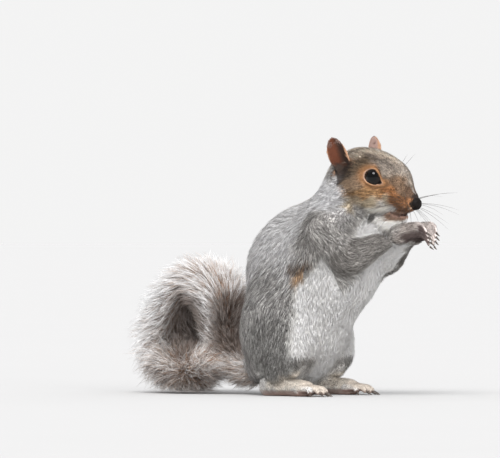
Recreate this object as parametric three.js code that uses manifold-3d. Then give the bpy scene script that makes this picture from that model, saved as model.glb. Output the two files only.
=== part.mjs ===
// A grey squirrel sitting up on its haunches, forepaws held together under its nose and tail curled up
// behind. Millimetres, +Z up, +X the way the squirrel faces, +Y its left. The body is one smooth field of
// muscles, modelled whole and parted into named pieces by thin cuts; the paws, ears, eyes, nose and claws
// are let into it.
import * as THREE from "three";
import { mergeVertices } from "three/addons/utils/BufferGeometryUtils.js";
import Module from "manifold-3d";

const wasm = await Module();
wasm.setup();

// ---------------------------------------------------------------- driving dimensions
// Places are counted from a point on the floor under the middle of the trunk. Those of paired pieces are
// the left one's.
const ORIGIN_X = -10.15; // the middle of the squirrel's whole length, where the part's own origin is
const SIDES = { right: -1, left: 1 };
const GAP = 0.35; // between pieces that touch

const NOSE_TIP = [100, 0, 133];
const HEAD_PITCH = THREE.MathUtils.degToRad(12); // nose down
const EYE_RADIUS = 6.9;
const EYE_AT = [-32, 12.7, 12.4]; // behind the nose tip, out from the middle and above it, along the head
const EAR_BASE = [48.5, 16, 155];
const EAR_TIP = [44.6, 26.6, 179.6];
const EAR_WIDTH = 14.4;
const EAR_THICKNESS = 2.6;

const SHOULDER = [38, 24, 115];
const ELBOW = [56.4, 22, 96.5];
const WRIST = [90.5, 8.8, 113];
const PALM = [97, 7.6, 114.8];
const KNUCKLES = [103, 6.8, 116.2];
const FINGERS = 4;
const FINGER_RADIUS = 1.7;
const WRIST_CUT = 0.86; // share of the forearm

const HEEL_X = -14;
const FOOT_LENGTH = 60;
const FOOT_OUT = 27; // from the middle plane to the middle of the sole
const ANKLE = 15; // the height at which the foot is parted from the leg
const BALL_X = HEEL_X + 0.66 * FOOT_LENGTH;
const TOES = 5;
const TOE_RADIUS = 2.6;

const TAIL_HALF_WIDTH = 31; // across, with its long side hair

// The size of a mesh cell on each piece: its facets stay within about half a millimetre of the surface.
const CELL = { trunk: 12, neck: 10.5, head: 5.2, thigh: 11, arm: 8, forepaw: 3.8, foot: 6.4, tail: 12 };
const CUTTER_CELL = 13; // on the shapes that part the limbs from the trunk

// ---------------------------------------------------------------- fields of muscles
// A field is a function of x, y, z: the distance in millimetres to a surface, negative inside it.
function ellipsoid([cx, cy, cz], [rx, ry, rz], tilt = 0) {
  const cos = Math.cos(tilt);
  const sin = Math.sin(tilt);
  return (x, y, z) => {
    const u = (cos * (x - cx) - sin * (z - cz)) / rx;
    const v = (y - cy) / ry;
    const w = (sin * (x - cx) + cos * (z - cz)) / rz;
    const near = Math.hypot(u, v, w);
    return (near * (near - 1)) / Math.max(Math.hypot(u / rx, v / ry, w / rz), 1e-6);
  };
}

// A bone with its flesh: a tapered rod with round ends.
function limb([ax, ay, az], [bx, by, bz], startRadius, endRadius) {
  const [ex, ey, ez] = [bx - ax, by - ay, bz - az];
  const lengthSquared = ex * ex + ey * ey + ez * ez;
  return (x, y, z) => {
    const along = ((x - ax) * ex + (y - ay) * ey + (z - az) * ez) / lengthSquared;
    const t = THREE.MathUtils.clamp(along, 0, 1);
    const away = Math.hypot(x - ax - t * ex, y - ay - t * ey, z - az - t * ez);
    return away - THREE.MathUtils.lerp(startRadius, endRadius, t);
  };
}

// Joins fields with a fillet of about the given size.
function blend(size, ...fields) {
  return (x, y, z) => {
    let joined = fields[0](x, y, z);
    for (let i = 1; i < fields.length; i++) {
      const other = fields[i](x, y, z);
      const near = Math.max(size - Math.abs(joined - other), 0) / size;
      joined = Math.min(joined, other) - (near * near * size) / 4;
    }
    return joined;
  };
}

const thicker = (field, by) => (x, y, z) => field(x, y, z) - by;
const onSide = (field, side) => (x, y, z) => field(x, side * y, z);
const bothSides = (field) => (x, y, z) => field(x, Math.abs(y), z);
const mirrored = ([x, y, z], side) => [x, side * y, z];
const between = (a, b, share) => a.map((v, axis) => THREE.MathUtils.lerp(v, b[axis], share));
const fromTo = (a, b) => b.map((v, axis) => v - a[axis]);

// ---------------------------------------------------------------- head
// A place on the head, from its distance ahead, beside and above the nose tip.
function onHead([ahead, out, up]) {
  const cos = Math.cos(HEAD_PITCH);
  const sin = Math.sin(HEAD_PITCH);
  return [NOSE_TIP[0] + ahead * cos + up * sin, out, NOSE_TIP[2] - ahead * sin + up * cos];
}
const headBlob = (at, radii) => ellipsoid(onHead(at), radii, HEAD_PITCH);
const headLimb = (from, to, startRadius, endRadius) => limb(onHead(from), onHead(to), startRadius, endRadius);

const skull = blend(
  8,
  headBlob([-46, 0, 11.5], [22, 19.5, 20.3]), // braincase
  headBlob([-31, 0, 12], [20.5, 15.5, 16]), // forehead
  headLimb([-25, 0, 6], [-7, 0, 1.6], 12.3, 6.6), // muzzle
  bothSides(headBlob([-38, 8.5, -2], [14, 11.5, 12.5])), // cheeks
  headLimb([-36, 0, -8.5], [-17, 0, -10.4], 9.2, 5.4), // lower jaw
);
const face = blend(
  3,
  skull,
  bothSides(headBlob([-10, 3.9, -3.4], [7, 4.8, 4.8])), // whisker pads
  bothSides(headBlob([-34, 12.5, 18.5], [8, 3.2, 3])), // brows
);

// ---------------------------------------------------------------- body and limbs
const torso = blend(
  14,
  ellipsoid([-11, 0, 33], [32, 31, 32]), // rump
  ellipsoid([0, 0, 56], [40, 34, 40]), // belly
  ellipsoid([1, 0, 90], [43, 33, 37]), // ribs
  ellipsoid([28, 0, 80], [34, 28, 26]), // breast
  ellipsoid([18, 0, 107], [37.5, 31, 26], 0.36), // shoulders
  limb([34, 0, 122], [43.5, 0, 151], 24.5, 19), // neck
);

const thigh = blend(
  8,
  ellipsoid([-5, 27, 44], [26, 17, 38], -0.1), // haunch
  ellipsoid([11, 29, 36], [15, 12, 23]), // knee
);

const arm = blend(8, limb(SHOULDER, ELBOW, 17, 13), limb(ELBOW, WRIST, 13, 5.8));

const whole = blend(9, torso, bothSides(thigh), bothSides(arm), face);

// The back of the hand and the thumb, grown out of the forearm.
function palm(side) {
  const knuckles = ellipsoid([KNUCKLES[0] - 3.5, KNUCKLES[1] + 0.2, KNUCKLES[2] - 0.4], [6, 3.9, 5.4], -0.3);
  const thumb = limb(PALM, [PALM[0] + 3.5, PALM[1] - 2.8, PALM[2] - 5.4], 3, 2);
  return onSide(blend(3, blend(4, limb(WRIST, PALM, 5.8, 4.8), knuckles, thumb), arm), side);
}

// The sole from the heel to the balls of the toes, with the ankle that goes up into the thigh.
function sole(side) {
  const heel = [HEEL_X + 7, FOOT_OUT - 1, 7];
  return onSide(
    blend(
      5,
      limb(heel, [BALL_X - 4, FOOT_OUT + 0.5, 5.4], 7.5, 6),
      ellipsoid([BALL_X - 3, FOOT_OUT + 1, 4.6], [9, 9.2, 5]),
      limb(heel, [HEEL_X + 14, FOOT_OUT - 1, 26], 7.5, 11),
    ),
    side,
  );
}

// Four slim fingers, fanned from the knuckles and bent towards the mouth.
function fingerPath(number, side) {
  const fan = number - (FINGERS - 1) / 2;
  const knuckle = [KNUCKLES[0] - 0.7 * Math.abs(fan), KNUCKLES[1] + 0.9 * fan, KNUCKLES[2] + 2.2 * fan];
  const middle = [knuckle[0] + 5, knuckle[1] - 0.9 + 0.2 * fan, knuckle[2] - 1.8 + 0.5 * fan];
  const tip = [middle[0] + 3.2, middle[1] - 1.5, middle[2] - 5.6 + 0.3 * fan];
  return [knuckle, middle, tip].map((p) => mirrored(p, side));
}

// Five toes that spread a little, the middle one the longest.
function toePath(number, side) {
  const fan = number - (TOES - 1) / 2;
  const reach = FOOT_LENGTH * (0.335 - 0.028 * fan * fan);
  const ball = [BALL_X - 1.6 * Math.abs(fan), FOOT_OUT + 1 + 3.1 * fan, 5.2];
  const middle = [BALL_X + 0.55 * reach, FOOT_OUT + 1.5 + 3.9 * fan, 5];
  const tip = [BALL_X + reach - 4.5, FOOT_OUT + 2 + 4.5 * fan, 2.4];
  return [ball, middle, tip].map((p) => mirrored(p, side));
}

// ---------------------------------------------------------------- tail
// The tail's middle line leaves the rump, rises close behind the back, curls over away from it and comes
// down to the floor. A station gives the place, the half thickness of the hair in the plane of the curl,
// and its half width across as a share of the full one.
const TAIL_STATIONS = [
  { at: [-26, 0, 17], thick: 10, wide: 0.35 },
  { at: [-44, 0, 17.5], thick: 14, wide: 0.5 },
  { at: [-57, 0, 26], thick: 16.5, wide: 0.7 },
  { at: [-63, 0, 43], thick: 15.5, wide: 0.85 },
  { at: [-65, 0, 61], thick: 17, wide: 0.95 },
  { at: [-72, 0, 75], thick: 20, wide: 1 },
  { at: [-87, 0, 80], thick: 19, wide: 1 },
  { at: [-100, 0, 70], thick: 19, wide: 1 },
  { at: [-109, 0, 54], thick: 21, wide: 1 },
  { at: [-113, -1, 37], thick: 22.5, wide: 1 },
  { at: [-106, -3, 21], thick: 21, wide: 0.95 },
  { at: [-92, -6, 15], thick: 18, wide: 0.85 },
  { at: [-80, -10, 12], thick: 11, wide: 0.5 },
];
const TAIL_STEPS = 30;
const TAIL_LENGTHS = { tail_base: [0, 11], tail_bend: [11, 21], tail_end: [21, 30] }; // in steps

const tailLine = new THREE.CatmullRomCurve3(TAIL_STATIONS.map(({ at }) => new THREE.Vector3(...at)));
const tailSize = new THREE.CatmullRomCurve3(
  TAIL_STATIONS.map(({ thick, wide }) => new THREE.Vector3(thick, wide * TAIL_HALF_WIDTH, 0)),
);
const tailPlaces = tailLine.getPoints(TAIL_STEPS);
const tailSizes = tailSize.getPoints(TAIL_STEPS);

// A tube of oval section along some of the steps of the tail's middle line.
function tailTube(from, to) {
  return (x, y, z) => {
    let nearest = Infinity;
    for (let step = from; step < to; step++) {
      const [a, b] = [tailPlaces[step], tailPlaces[step + 1]];
      const [ex, ez] = [b.x - a.x, b.z - a.z];
      const along = ((x - a.x) * ex + (z - a.z) * ez) / (ex * ex + ez * ez);
      const t = THREE.MathUtils.clamp(along, 0, 1);
      const thick = THREE.MathUtils.lerp(tailSizes[step].x, tailSizes[step + 1].x, t);
      const wide = THREE.MathUtils.lerp(tailSizes[step].y, tailSizes[step + 1].y, t);
      const u = Math.hypot(x - a.x - t * ex, z - a.z - t * ez) / thick;
      const v = (y - a.y - t * (b.y - a.y)) / wide;
      const near = Math.hypot(u, v);
      const away = (near * (near - 1)) / Math.max(Math.hypot(u / thick, v / wide), 1e-6);
      nearest = Math.min(nearest, away);
    }
    return nearest;
  };
}

// ---------------------------------------------------------------- meshes
const geometryOf = (positions, triangles) =>
  new THREE.BufferGeometry()
    .setAttribute("position", new THREE.Float32BufferAttribute(positions, 3))
    .setIndex(triangles);

// A closed mesh of the surface of a field inside a box, by surface nets: one vertex in each cell that
// the surface crosses, moved onto the surface, and one quad round each grid edge that it crosses.
function surfaceOf(field, [low, high], cell) {
  const count = low.map((v, axis) => Math.ceil((high[axis] - v) / cell) + 2);
  const at = (i, axis) => low[axis] + (i - 0.5) * cell;
  const steps = [1, count[0], count[0] * count[1]];
  const index = (i, j, k) => i + j * steps[1] + k * steps[2];

  function eachCell(first, visit) {
    for (let k = first; k < count[2] - 1; k++)
      for (let j = first; j < count[1] - 1; j++)
        for (let i = first; i < count[0] - 1; i++) visit(i, j, k);
  }

  const value = new Float64Array(count[0] * count[1] * count[2]).fill(cell / 2);
  eachCell(1, (i, j, k) => {
    value[index(i, j, k)] = field(at(i, 0), at(j, 1), at(k, 2));
  });

  const corners = [0, 1, 2, 3, 4, 5, 6, 7].map((c) => [c & 1, (c >> 1) & 1, c >> 2]);
  const edges = corners.flatMap((_, c) => [1, 2, 4].filter((bit) => !(c & bit)).map((bit) => [c, c | bit]));
  const positions = [];
  const vertexOf = new Map();
  eachCell(0, (i, j, k) => {
    const v = corners.map(([a, b, c]) => value[index(i + a, j + b, k + c)]);
    const crossed = edges.filter(([a, b]) => v[a] < 0 !== v[b] < 0);
    if (!crossed.length) return;
    const crossings = crossed.map(([a, b]) => between(corners[a], corners[b], v[a] / (v[a] - v[b])));
    const mean = [0, 1, 2].map((axis) => crossings.reduce((sum, p) => sum + p[axis], 0) / crossings.length);
    vertexOf.set(index(i, j, k), positions.length / 3);
    const place = [at(i, 0), at(j, 1), at(k, 2)].map((base, axis) => base + mean[axis] * cell);
    positions.push(...ontoSurface(field, place, cell / 2));
  });

  const triangles = [];
  eachCell(0, (i, j, k) => {
    for (let axis = 0; axis < 3; axis++) {
      const here = index(i, j, k);
      const inside = value[here] < 0;
      if (inside === value[here + steps[axis]] < 0) continue;
      const [p, q] = [steps[(axis + 1) % 3], steps[(axis + 2) % 3]];
      const [a, b, c, d] = [here, here - p, here - p - q, here - q].map((corner) => vertexOf.get(corner));
      if (inside) triangles.push(a, b, c, a, c, d);
      else triangles.push(a, c, b, a, d, c);
    }
  });
  return geometryOf(positions, triangles);
}

// The nearest place on the field's surface, unless that is further away than the reach.
function ontoSurface(field, [x, y, z], reach) {
  const small = 0.05;
  const here = field(x, y, z);
  if (Math.abs(here) > reach) return [x, y, z];
  const ahead = [field(x + small, y, z), field(x, y + small, z), field(x, y, z + small)];
  const uphill = new THREE.Vector3(...ahead.map((v) => (v - here) / small));
  const steep = Math.max(uphill.lengthSq(), 0.2);
  return new THREE.Vector3(x, y, z).addScaledVector(uphill, -here / steep).toArray();
}

// A round rod through a few points, with its own radius at each and blunt ends: a finger or a toe.
function rod(points, radii, sides) {
  const line = new THREE.CatmullRomCurve3(points.map((p) => new THREE.Vector3(...p)));
  const rings = 2 * (points.length - 1);
  const positions = [];
  for (let ring = 0; ring <= rings; ring++) {
    const radius = (radii[Math.floor(ring / 2)] + radii[Math.ceil(ring / 2)]) / 2;
    const along = line.getTangent(ring / rings);
    const out = new THREE.Vector3(0, 1, 0).projectOnPlane(along).normalize();
    const up = new THREE.Vector3().crossVectors(along, out);
    for (let side = 0; side < sides; side++) {
      const turn = (2 * Math.PI * side) / sides;
      const at = line.getPoint(ring / rings).addScaledVector(out, radius * Math.cos(turn));
      positions.push(...at.addScaledVector(up, radius * Math.sin(turn)).toArray());
    }
  }
  const [start, end] = [positions.length / 3, positions.length / 3 + 1];
  positions.push(...line.getPoint(0).addScaledVector(line.getTangent(0), -0.6 * radii[0]).toArray());
  positions.push(...line.getPoint(1).addScaledVector(line.getTangent(1), 0.6 * radii.at(-1)).toArray());
  const triangles = [];
  for (let side = 0; side < sides; side++) {
    const next = (side + 1) % sides;
    for (let ring = 0; ring < rings; ring++) {
      const [a, b] = [ring * sides + side, ring * sides + next];
      triangles.push(a, b, b + sides, a, b + sides, a + sides);
    }
    triangles.push(start, next, side, end, rings * sides + side, rings * sides + next);
  }
  return geometryOf(positions, triangles);
}

// A cupped leaf with a round tip, from its root in the head to its tip, open outwards and a little forwards.
function ear(side) {
  const base = new THREE.Vector3(...mirrored(EAR_BASE, side));
  const tip = new THREE.Vector3(...mirrored(EAR_TIP, side));
  const up = tip.clone().sub(base).normalize();
  const length = tip.distanceTo(base) + 5; // its root is inside the head
  const open = new THREE.Vector3(0.35, side * 0.94, 0).projectOnPlane(up).normalize();
  const front = new THREE.Vector3().crossVectors(open, up).multiplyScalar(side);
  const leaf = new THREE.SphereGeometry(1, 12, 11).rotateX(Math.PI / 2);
  const place = leaf.getAttribute("position");
  for (let i = 0; i < place.count; i++) {
    const height = (place.getZ(i) + 1) / 2; // 0 at the root, 1 at the tip
    const u = place.getX(i) * side; // positive towards the front rim, which slants more than the back rim
    const half = u > 0 ? 0.6 * (1 - 0.2 * height) : 0.4 + 0.15 * height;
    const across = u * EAR_WIDTH * half;
    const cup = 0.05 * across * across * (1 - 0.5 * height) + 1.6 * Math.sin(Math.PI * height) - 1.2;
    const at = tip.clone().addScaledVector(up, (height - 1) * length);
    at.addScaledVector(front, across).addScaledVector(open, (place.getY(i) * EAR_THICKNESS) / 2 + cup);
    place.setXYZ(i, at.x, at.y, at.z);
  }
  return leaf;
}

// A curved cone from its root along a direction; a positive hook bends it down.
function claw(root, direction, length, radius, hook) {
  const along = new THREE.Vector3(...direction).normalize();
  const down = new THREE.Vector3(0, 0, -1).projectOnPlane(along).normalize();
  const across = new THREE.Vector3().crossVectors(down, along);
  const cone = new THREE.ConeGeometry(1, 1, 5, 2);
  const place = cone.getAttribute("position");
  for (let i = 0; i < place.count; i++) {
    const t = place.getY(i) + 0.5;
    const at = new THREE.Vector3(...root)
      .addScaledVector(along, t * length)
      .addScaledVector(down, hook * t * t + place.getX(i) * radius * 1.25)
      .addScaledVector(across, place.getZ(i) * radius);
    place.setXYZ(i, at.x, at.y, at.z);
  }
  return cone;
}

// ---------------------------------------------------------------- solids, for cutting and joining
// The mesh with only its positions, and each shared vertex once.
function bare(geometry) {
  const copy = new THREE.BufferGeometry().setAttribute("position", geometry.getAttribute("position"));
  return mergeVertices(copy.setIndex(geometry.index), 1e-4);
}

function solidOf(geometry) {
  const merged = bare(geometry);
  return new wasm.Manifold(
    new wasm.Mesh({
      numProp: 3,
      vertProperties: new Float32Array(merged.getAttribute("position").array),
      triVerts: new Uint32Array(merged.index.array),
    }),
  );
}
const solidInField = (field, box, cell) => solidOf(surfaceOf(field, box, cell));

// A piece's shape grown outwards along its normals: the room that it needs in its neighbour.
function roomFor(geometry, gap = GAP) {
  const merged = bare(geometry);
  merged.computeVertexNormals();
  const place = merged.getAttribute("position");
  const normal = merged.getAttribute("normal");
  for (let i = 0; i < place.array.length; i++) place.array[i] += gap * normal.array[i];
  return solidOf(merged);
}

// A block that fills one side of a plane, starting half a gap past it.
function beyond([point, normal]) {
  const size = 400;
  const along = new THREE.Vector3(...normal).normalize();
  const turn = new THREE.Quaternion().setFromUnitVectors(new THREE.Vector3(0, 0, 1), along);
  const block = new THREE.BoxGeometry(size, size, size).translate(0, 0, (size + GAP) / 2);
  return solidOf(block.applyQuaternion(turn).translate(...point));
}
const before = ([point, normal]) => beyond([point, normal.map((v) => -v)]);
const aboveFloor = beyond([[0, 0, -GAP / 2], [0, 0, 1]]);

// The largest body of a solid, without the crumbs and slivers that a cut can leave.
const SLIVER = 0.01;
const largest = (solid) =>
  solid
    .decompose()
    .reduce((a, b) => (a.volume() > b.volume() ? a : b))
    .simplify(SLIVER);

// ---------------------------------------------------------------- materials
const paint = (color, roughness) => new THREE.MeshStandardMaterial({ color, roughness, metalness: 0 });
const GREY_FUR = paint(0x8d8884, 0.9);
const FACE_FUR = paint(0x9a7f63, 0.9);
const EAR_FUR = paint(0x9b6a50, 0.85);
const PAW_FUR = paint(0x8b8480, 0.8);
const TAIL_FUR = paint(0xa39a93, 0.9);
const EYE = paint(0x0b0908, 0.08);
const NOSE = paint(0x2a211e, 0.5);
const CLAW = paint(0x2f2824, 0.4);

const squirrel = new THREE.Group();
squirrel.position.x = -ORIGIN_X;

function add(name, solid, material) {
  const { vertProperties, triVerts } = largest(solid).getMesh();
  const mesh = new THREE.Mesh(geometryOf(vertProperties, Array.from(triVerts)), material);
  mesh.name = name;
  squirrel.add(mesh);
}

// ---------------------------------------------------------------- trunk, neck and head
const NECK_CUT = [[54, 0, 146], [0.86, 0, 0.5]];
const SHOULDER_CUT = [[33, 0, 124], [0.6, 0, 0.8]];

let trunk = solidInField(whole, [[-60, -62, -12], [80, 62, 160]], CELL.trunk)
  .intersect(before(SHOULDER_CUT))
  .intersect(aboveFloor);
let neck = solidInField(whole, [[0, -45, 95], [90, 45, 180]], CELL.neck)
  .intersect(beyond(SHOULDER_CUT))
  .intersect(before(NECK_CUT));
let head = solidInField(whole, [[24, -34, 108], [112, 34, 184]], CELL.head).intersect(beyond(NECK_CUT));

const noseBall = new THREE.IcosahedronGeometry(1, 1).scale(4.4, 4.9, 4.5);
noseBall.translate(...onHead([-3.4, 0, -0.2]));
add("nose", solidOf(noseBall), NOSE);
head = head.subtract(roomFor(noseBall));

for (const [name, side] of Object.entries(SIDES)) {
  const pinna = ear(side);
  add("ear_" + name, solidOf(pinna), EAR_FUR);
  head = head.subtract(roomFor(pinna));
  neck = neck.subtract(roomFor(pinna));

  const eyeball = new THREE.IcosahedronGeometry(EYE_RADIUS, 2).translate(...mirrored(onHead(EYE_AT), side));
  add("eye_" + name, solidOf(eyeball), EYE);
  head = head.subtract(roomFor(eyeball));
}

// ---------------------------------------------------------------- legs and arms
// A box for the left side of the body, or its mirror image.
const boxOn = (side, [low, high]) =>
  side > 0 ? [low, high] : [[low[0], -high[1], low[2]], [high[0], -low[1], high[2]]];

// Each thigh and arm is what lies inside its own muscles, grown past the skin; the trunk is what is left.
for (const [name, side] of Object.entries(SIDES)) {
  const thighBox = boxOn(side, [[-50, 2, -14], [50, 66, 100]]);
  const thighShape = surfaceOf(thicker(onSide(thigh, side), 1.5), thighBox, CUTTER_CELL);
  trunk = trunk.subtract(roomFor(thighShape, 0.6));
  const footBox = boxOn(side, [
    [HEEL_X - 6, FOOT_OUT - 18, -8],
    [HEEL_X + FOOT_LENGTH + 4, FOOT_OUT + 18, 26],
  ]);
  const below = (height) => before([[0, side * FOOT_OUT, height], [-0.25, 0, 1]]);
  const footShape = surfaceOf(sole(side), footBox, CELL.foot);
  const footRoom = roomFor(footShape).intersect(below(ANKLE + GAP));
  trunk = trunk.subtract(footRoom);
  const thighPiece = solidInField(blend(9, whole, sole(side)), thighBox, CELL.thigh)
    .intersect(solidOf(thighShape))
    .intersect(aboveFloor)
    .subtract(footRoom);
  add("thigh_" + name, thighPiece, GREY_FUR);

  let foot = solidOf(footShape).intersect(below(ANKLE));
  for (let number = 0; number < TOES; number++) {
    const toe = rod(toePath(number, side), [TOE_RADIUS + 0.5, TOE_RADIUS + 0.1, TOE_RADIUS - 0.6], 6);
    foot = foot.add(solidOf(toe));
  }
  foot = foot.intersect(aboveFloor);
  for (let number = 0; number < TOES; number++) {
    const [, middle, tip] = toePath(number, side);
    const forward = fromTo(middle, tip);
    const nail = claw(tip, [forward[0], forward[1], forward[2] + 1.4], 6.5, 1.05, 1.1);
    foot = foot.subtract(roomFor(nail));
    add("foot_" + name + "_claw_" + (number + 1), solidOf(nail).intersect(aboveFloor), CLAW);
  }
  add("hind_foot_" + name, foot, PAW_FUR);

  const armBox = boxOn(side, [[0, -20, 60], [120, 60, 150]]);
  const armShape = surfaceOf(thicker(onSide(arm, side), 2), armBox, CUTTER_CELL);
  trunk = trunk.subtract(roomFor(armShape, 0.6));
  neck = neck.subtract(roomFor(armShape, 0.6));
  const wristCut = [between(ELBOW, WRIST, WRIST_CUT), fromTo(ELBOW, WRIST)].map((p) => mirrored(p, side));
  const armPiece = solidInField(whole, boxOn(side, [[0, 0, 60], [110, 60, 150]]), CELL.arm)
    .intersect(solidOf(armShape))
    .intersect(before(wristCut));
  add("arm_" + name, armPiece, GREY_FUR);

  const pawBox = boxOn(side, [[70, -4, 90], [124, 24, 130]]);
  let paw = solidInField(palm(side), pawBox, CELL.forepaw).intersect(beyond(wristCut));
  for (let number = 0; number < FINGERS; number++) {
    const [knuckle, middle, tip] = fingerPath(number, side);
    const root = between(knuckle, mirrored(PALM, side), 0.35);
    const radii = [FINGER_RADIUS + 0.2, FINGER_RADIUS + 0.1, FINGER_RADIUS, FINGER_RADIUS - 0.35];
    paw = paw.add(solidOf(rod([root, knuckle, middle, tip], radii, 5)));
  }
  for (let number = 0; number < FINGERS; number++) {
    const [, middle, tip] = fingerPath(number, side);
    const forward = fromTo(middle, tip);
    const nail = claw(tip, [forward[0] + 2.4, forward[1], forward[2]], 5, 0.85, -0.9);
    paw = paw.subtract(roomFor(nail));
    add("forepaw_" + name + "_claw_" + (number + 1), solidOf(nail), CLAW);
  }
  add("forepaw_" + name, paw, PAW_FUR);
}

// ---------------------------------------------------------------- tail lengths
const tailBox = [[-150, -44, -16], [-10, 44, 110]];
const tailCut = (step) => [tailPlaces[step].toArray(), tailLine.getTangent(step / TAIL_STEPS).toArray()];
const PAST_CUT = 6; // steps by which a length's tube goes past its cuts

for (const [name, [from, to]] of Object.entries(TAIL_LENGTHS)) {
  const tube = surfaceOf(
    tailTube(Math.max(from - PAST_CUT, 0), Math.min(to + PAST_CUT, TAIL_STEPS)),
    tailBox,
    CELL.tail,
  );
  let length = solidOf(tube).intersect(aboveFloor);
  if (from > 0) length = length.intersect(beyond(tailCut(from)));
  if (to < TAIL_STEPS) length = length.intersect(before(tailCut(to)));
  add(name, length, TAIL_FUR);
  trunk = trunk.subtract(roomFor(tube));
}

add("head", head, FACE_FUR);
add("neck", neck, GREY_FUR);
add("trunk", trunk, GREY_FUR);

const part = new THREE.Group();
part.add(squirrel);
export default part;
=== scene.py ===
import math

import bpy
import numpy as np
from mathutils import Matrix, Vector
from mathutils.bvhtree import BVHTree
from mathutils.kdtree import KDTree


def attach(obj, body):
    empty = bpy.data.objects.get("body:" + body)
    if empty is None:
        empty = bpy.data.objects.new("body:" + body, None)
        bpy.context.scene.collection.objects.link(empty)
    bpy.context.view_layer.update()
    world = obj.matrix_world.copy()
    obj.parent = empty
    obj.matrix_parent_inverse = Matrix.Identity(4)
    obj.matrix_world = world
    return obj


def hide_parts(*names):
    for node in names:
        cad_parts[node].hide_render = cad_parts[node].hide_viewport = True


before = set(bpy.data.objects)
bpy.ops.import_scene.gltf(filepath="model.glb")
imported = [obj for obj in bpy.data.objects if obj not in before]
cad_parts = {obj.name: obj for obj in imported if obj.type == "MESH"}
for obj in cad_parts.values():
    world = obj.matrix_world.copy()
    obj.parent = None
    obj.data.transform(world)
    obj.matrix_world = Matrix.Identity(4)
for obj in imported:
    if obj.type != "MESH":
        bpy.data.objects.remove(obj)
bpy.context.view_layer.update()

# ---------------------------------------------------------------- flesh
# The trunk, neck, head and limbs under the coat, as one closed form. It is taken from the solids, whose
# outline is the tips of the hair, and drawn in by the depth of the coat, which differs from place to place.
MM = 0.001
TRUNK_X = 10.15  # places on the body are in millimetres from the floor under the trunk, this far ahead
FLESH = ["trunk", "neck", "head"]
FEATURES = ["nose", "eye_left", "eye_right"]  # filled in here, so that the head is one form behind them
LIMBS = ["arm_left", "arm_right", "thigh_left", "thigh_right"]
CUT = 0.4 * MM  # how far the solids grow, to close the thin cuts between them
FLESH_CELL = 1.1 * MM
DRAW_STEPS, DRAW_CHECKS = 6, 3  # it's drawn in by so many steps, and put right so many times
SOFT_DEPTH = 3 * MM  # a coat this deep leaves the flesh fully soft


def only(*pieces):
    """Selects these objects and no others, the first one active."""
    bpy.ops.object.select_all(action="DESELECT")
    for piece in pieces:
        piece.select_set(True)
    bpy.context.view_layer.objects.active = pieces[0]


def modified(piece, kind, **settings):
    """Adds a modifier with these settings and applies it."""
    only(piece)
    modifier = piece.modifiers.new(kind.lower(), kind)
    for name, value in settings.items():
        setattr(modifier, name, value)
    bpy.ops.object.modifier_apply(modifier=modifier.name)
    return piece


def solid_copy(node, grow):
    """A merged copy of a solid, grown along its normals."""
    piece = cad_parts[node].copy()
    piece.data = piece.data.copy()
    piece.data.materials.clear()
    for key in list(piece.keys()):
        del piece[key]
    piece.parent = None
    piece.name = node + "_copy"
    bpy.context.scene.collection.objects.link(piece)
    only(piece)
    bpy.ops.object.mode_set(mode="EDIT")
    bpy.ops.mesh.select_all(action="SELECT")
    bpy.ops.mesh.remove_doubles(threshold=1e-6)
    bpy.ops.object.mode_set(mode="OBJECT")
    return modified(piece, "DISPLACE", strength=grow, mid_level=0)


def joined(pieces, name):
    only(*pieces)
    bpy.ops.object.join()
    pieces[0].name = name
    pieces[0].data.name = name
    return pieces[0]


def rows_of(items, name):
    """One vector of each of a mesh's items, as rows."""
    values = np.empty(3 * len(items), np.float32)
    items.foreach_get(name, values)
    return values.reshape(-1, 3).astype(float)


def points_of(piece):
    return rows_of(piece.data.vertices, "co")


def normals_of(piece):
    return rows_of(piece.data.vertex_normals, "vector")


def put(piece, co):
    piece.data.vertices.foreach_set("co", co.astype(np.float32).ravel())
    piece.data.update()


def evened(piece, co, rounds, share):
    """The vertices' places, each drawn again and again towards the middle of its neighbours by its share."""
    edges = np.empty(2 * len(piece.data.edges), np.int32)
    piece.data.edges.foreach_get("vertices", edges)
    a, b = edges[::2], edges[1::2]
    many = np.bincount(edges, minlength=len(co))[:, None]
    for _ in range(rounds):
        near = np.stack([np.bincount(a, co[b, axis], len(co)) + np.bincount(b, co[a, axis], len(co))
                         for axis in range(3)], axis=1)
        co = co + np.reshape(share, (-1, 1)) * (near / many - co)
    return co


def step(value, low, high):
    """0 at low, 1 at high and beyond, and smooth between them; high may be the lower one."""
    t = np.clip((value - low) / (high - low), 0, 1)
    return t * t * (3 - 2 * t)


def unit(vectors):
    return vectors / np.maximum(np.linalg.norm(vectors, axis=-1, keepdims=True), 1e-9)


def surface_of(piece, co):
    """The piece's surface, to find the nearest place on it."""
    return BVHTree.FromPolygons([tuple(p) for p in co], [tuple(f.vertices) for f in piece.data.polygons])


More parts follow.
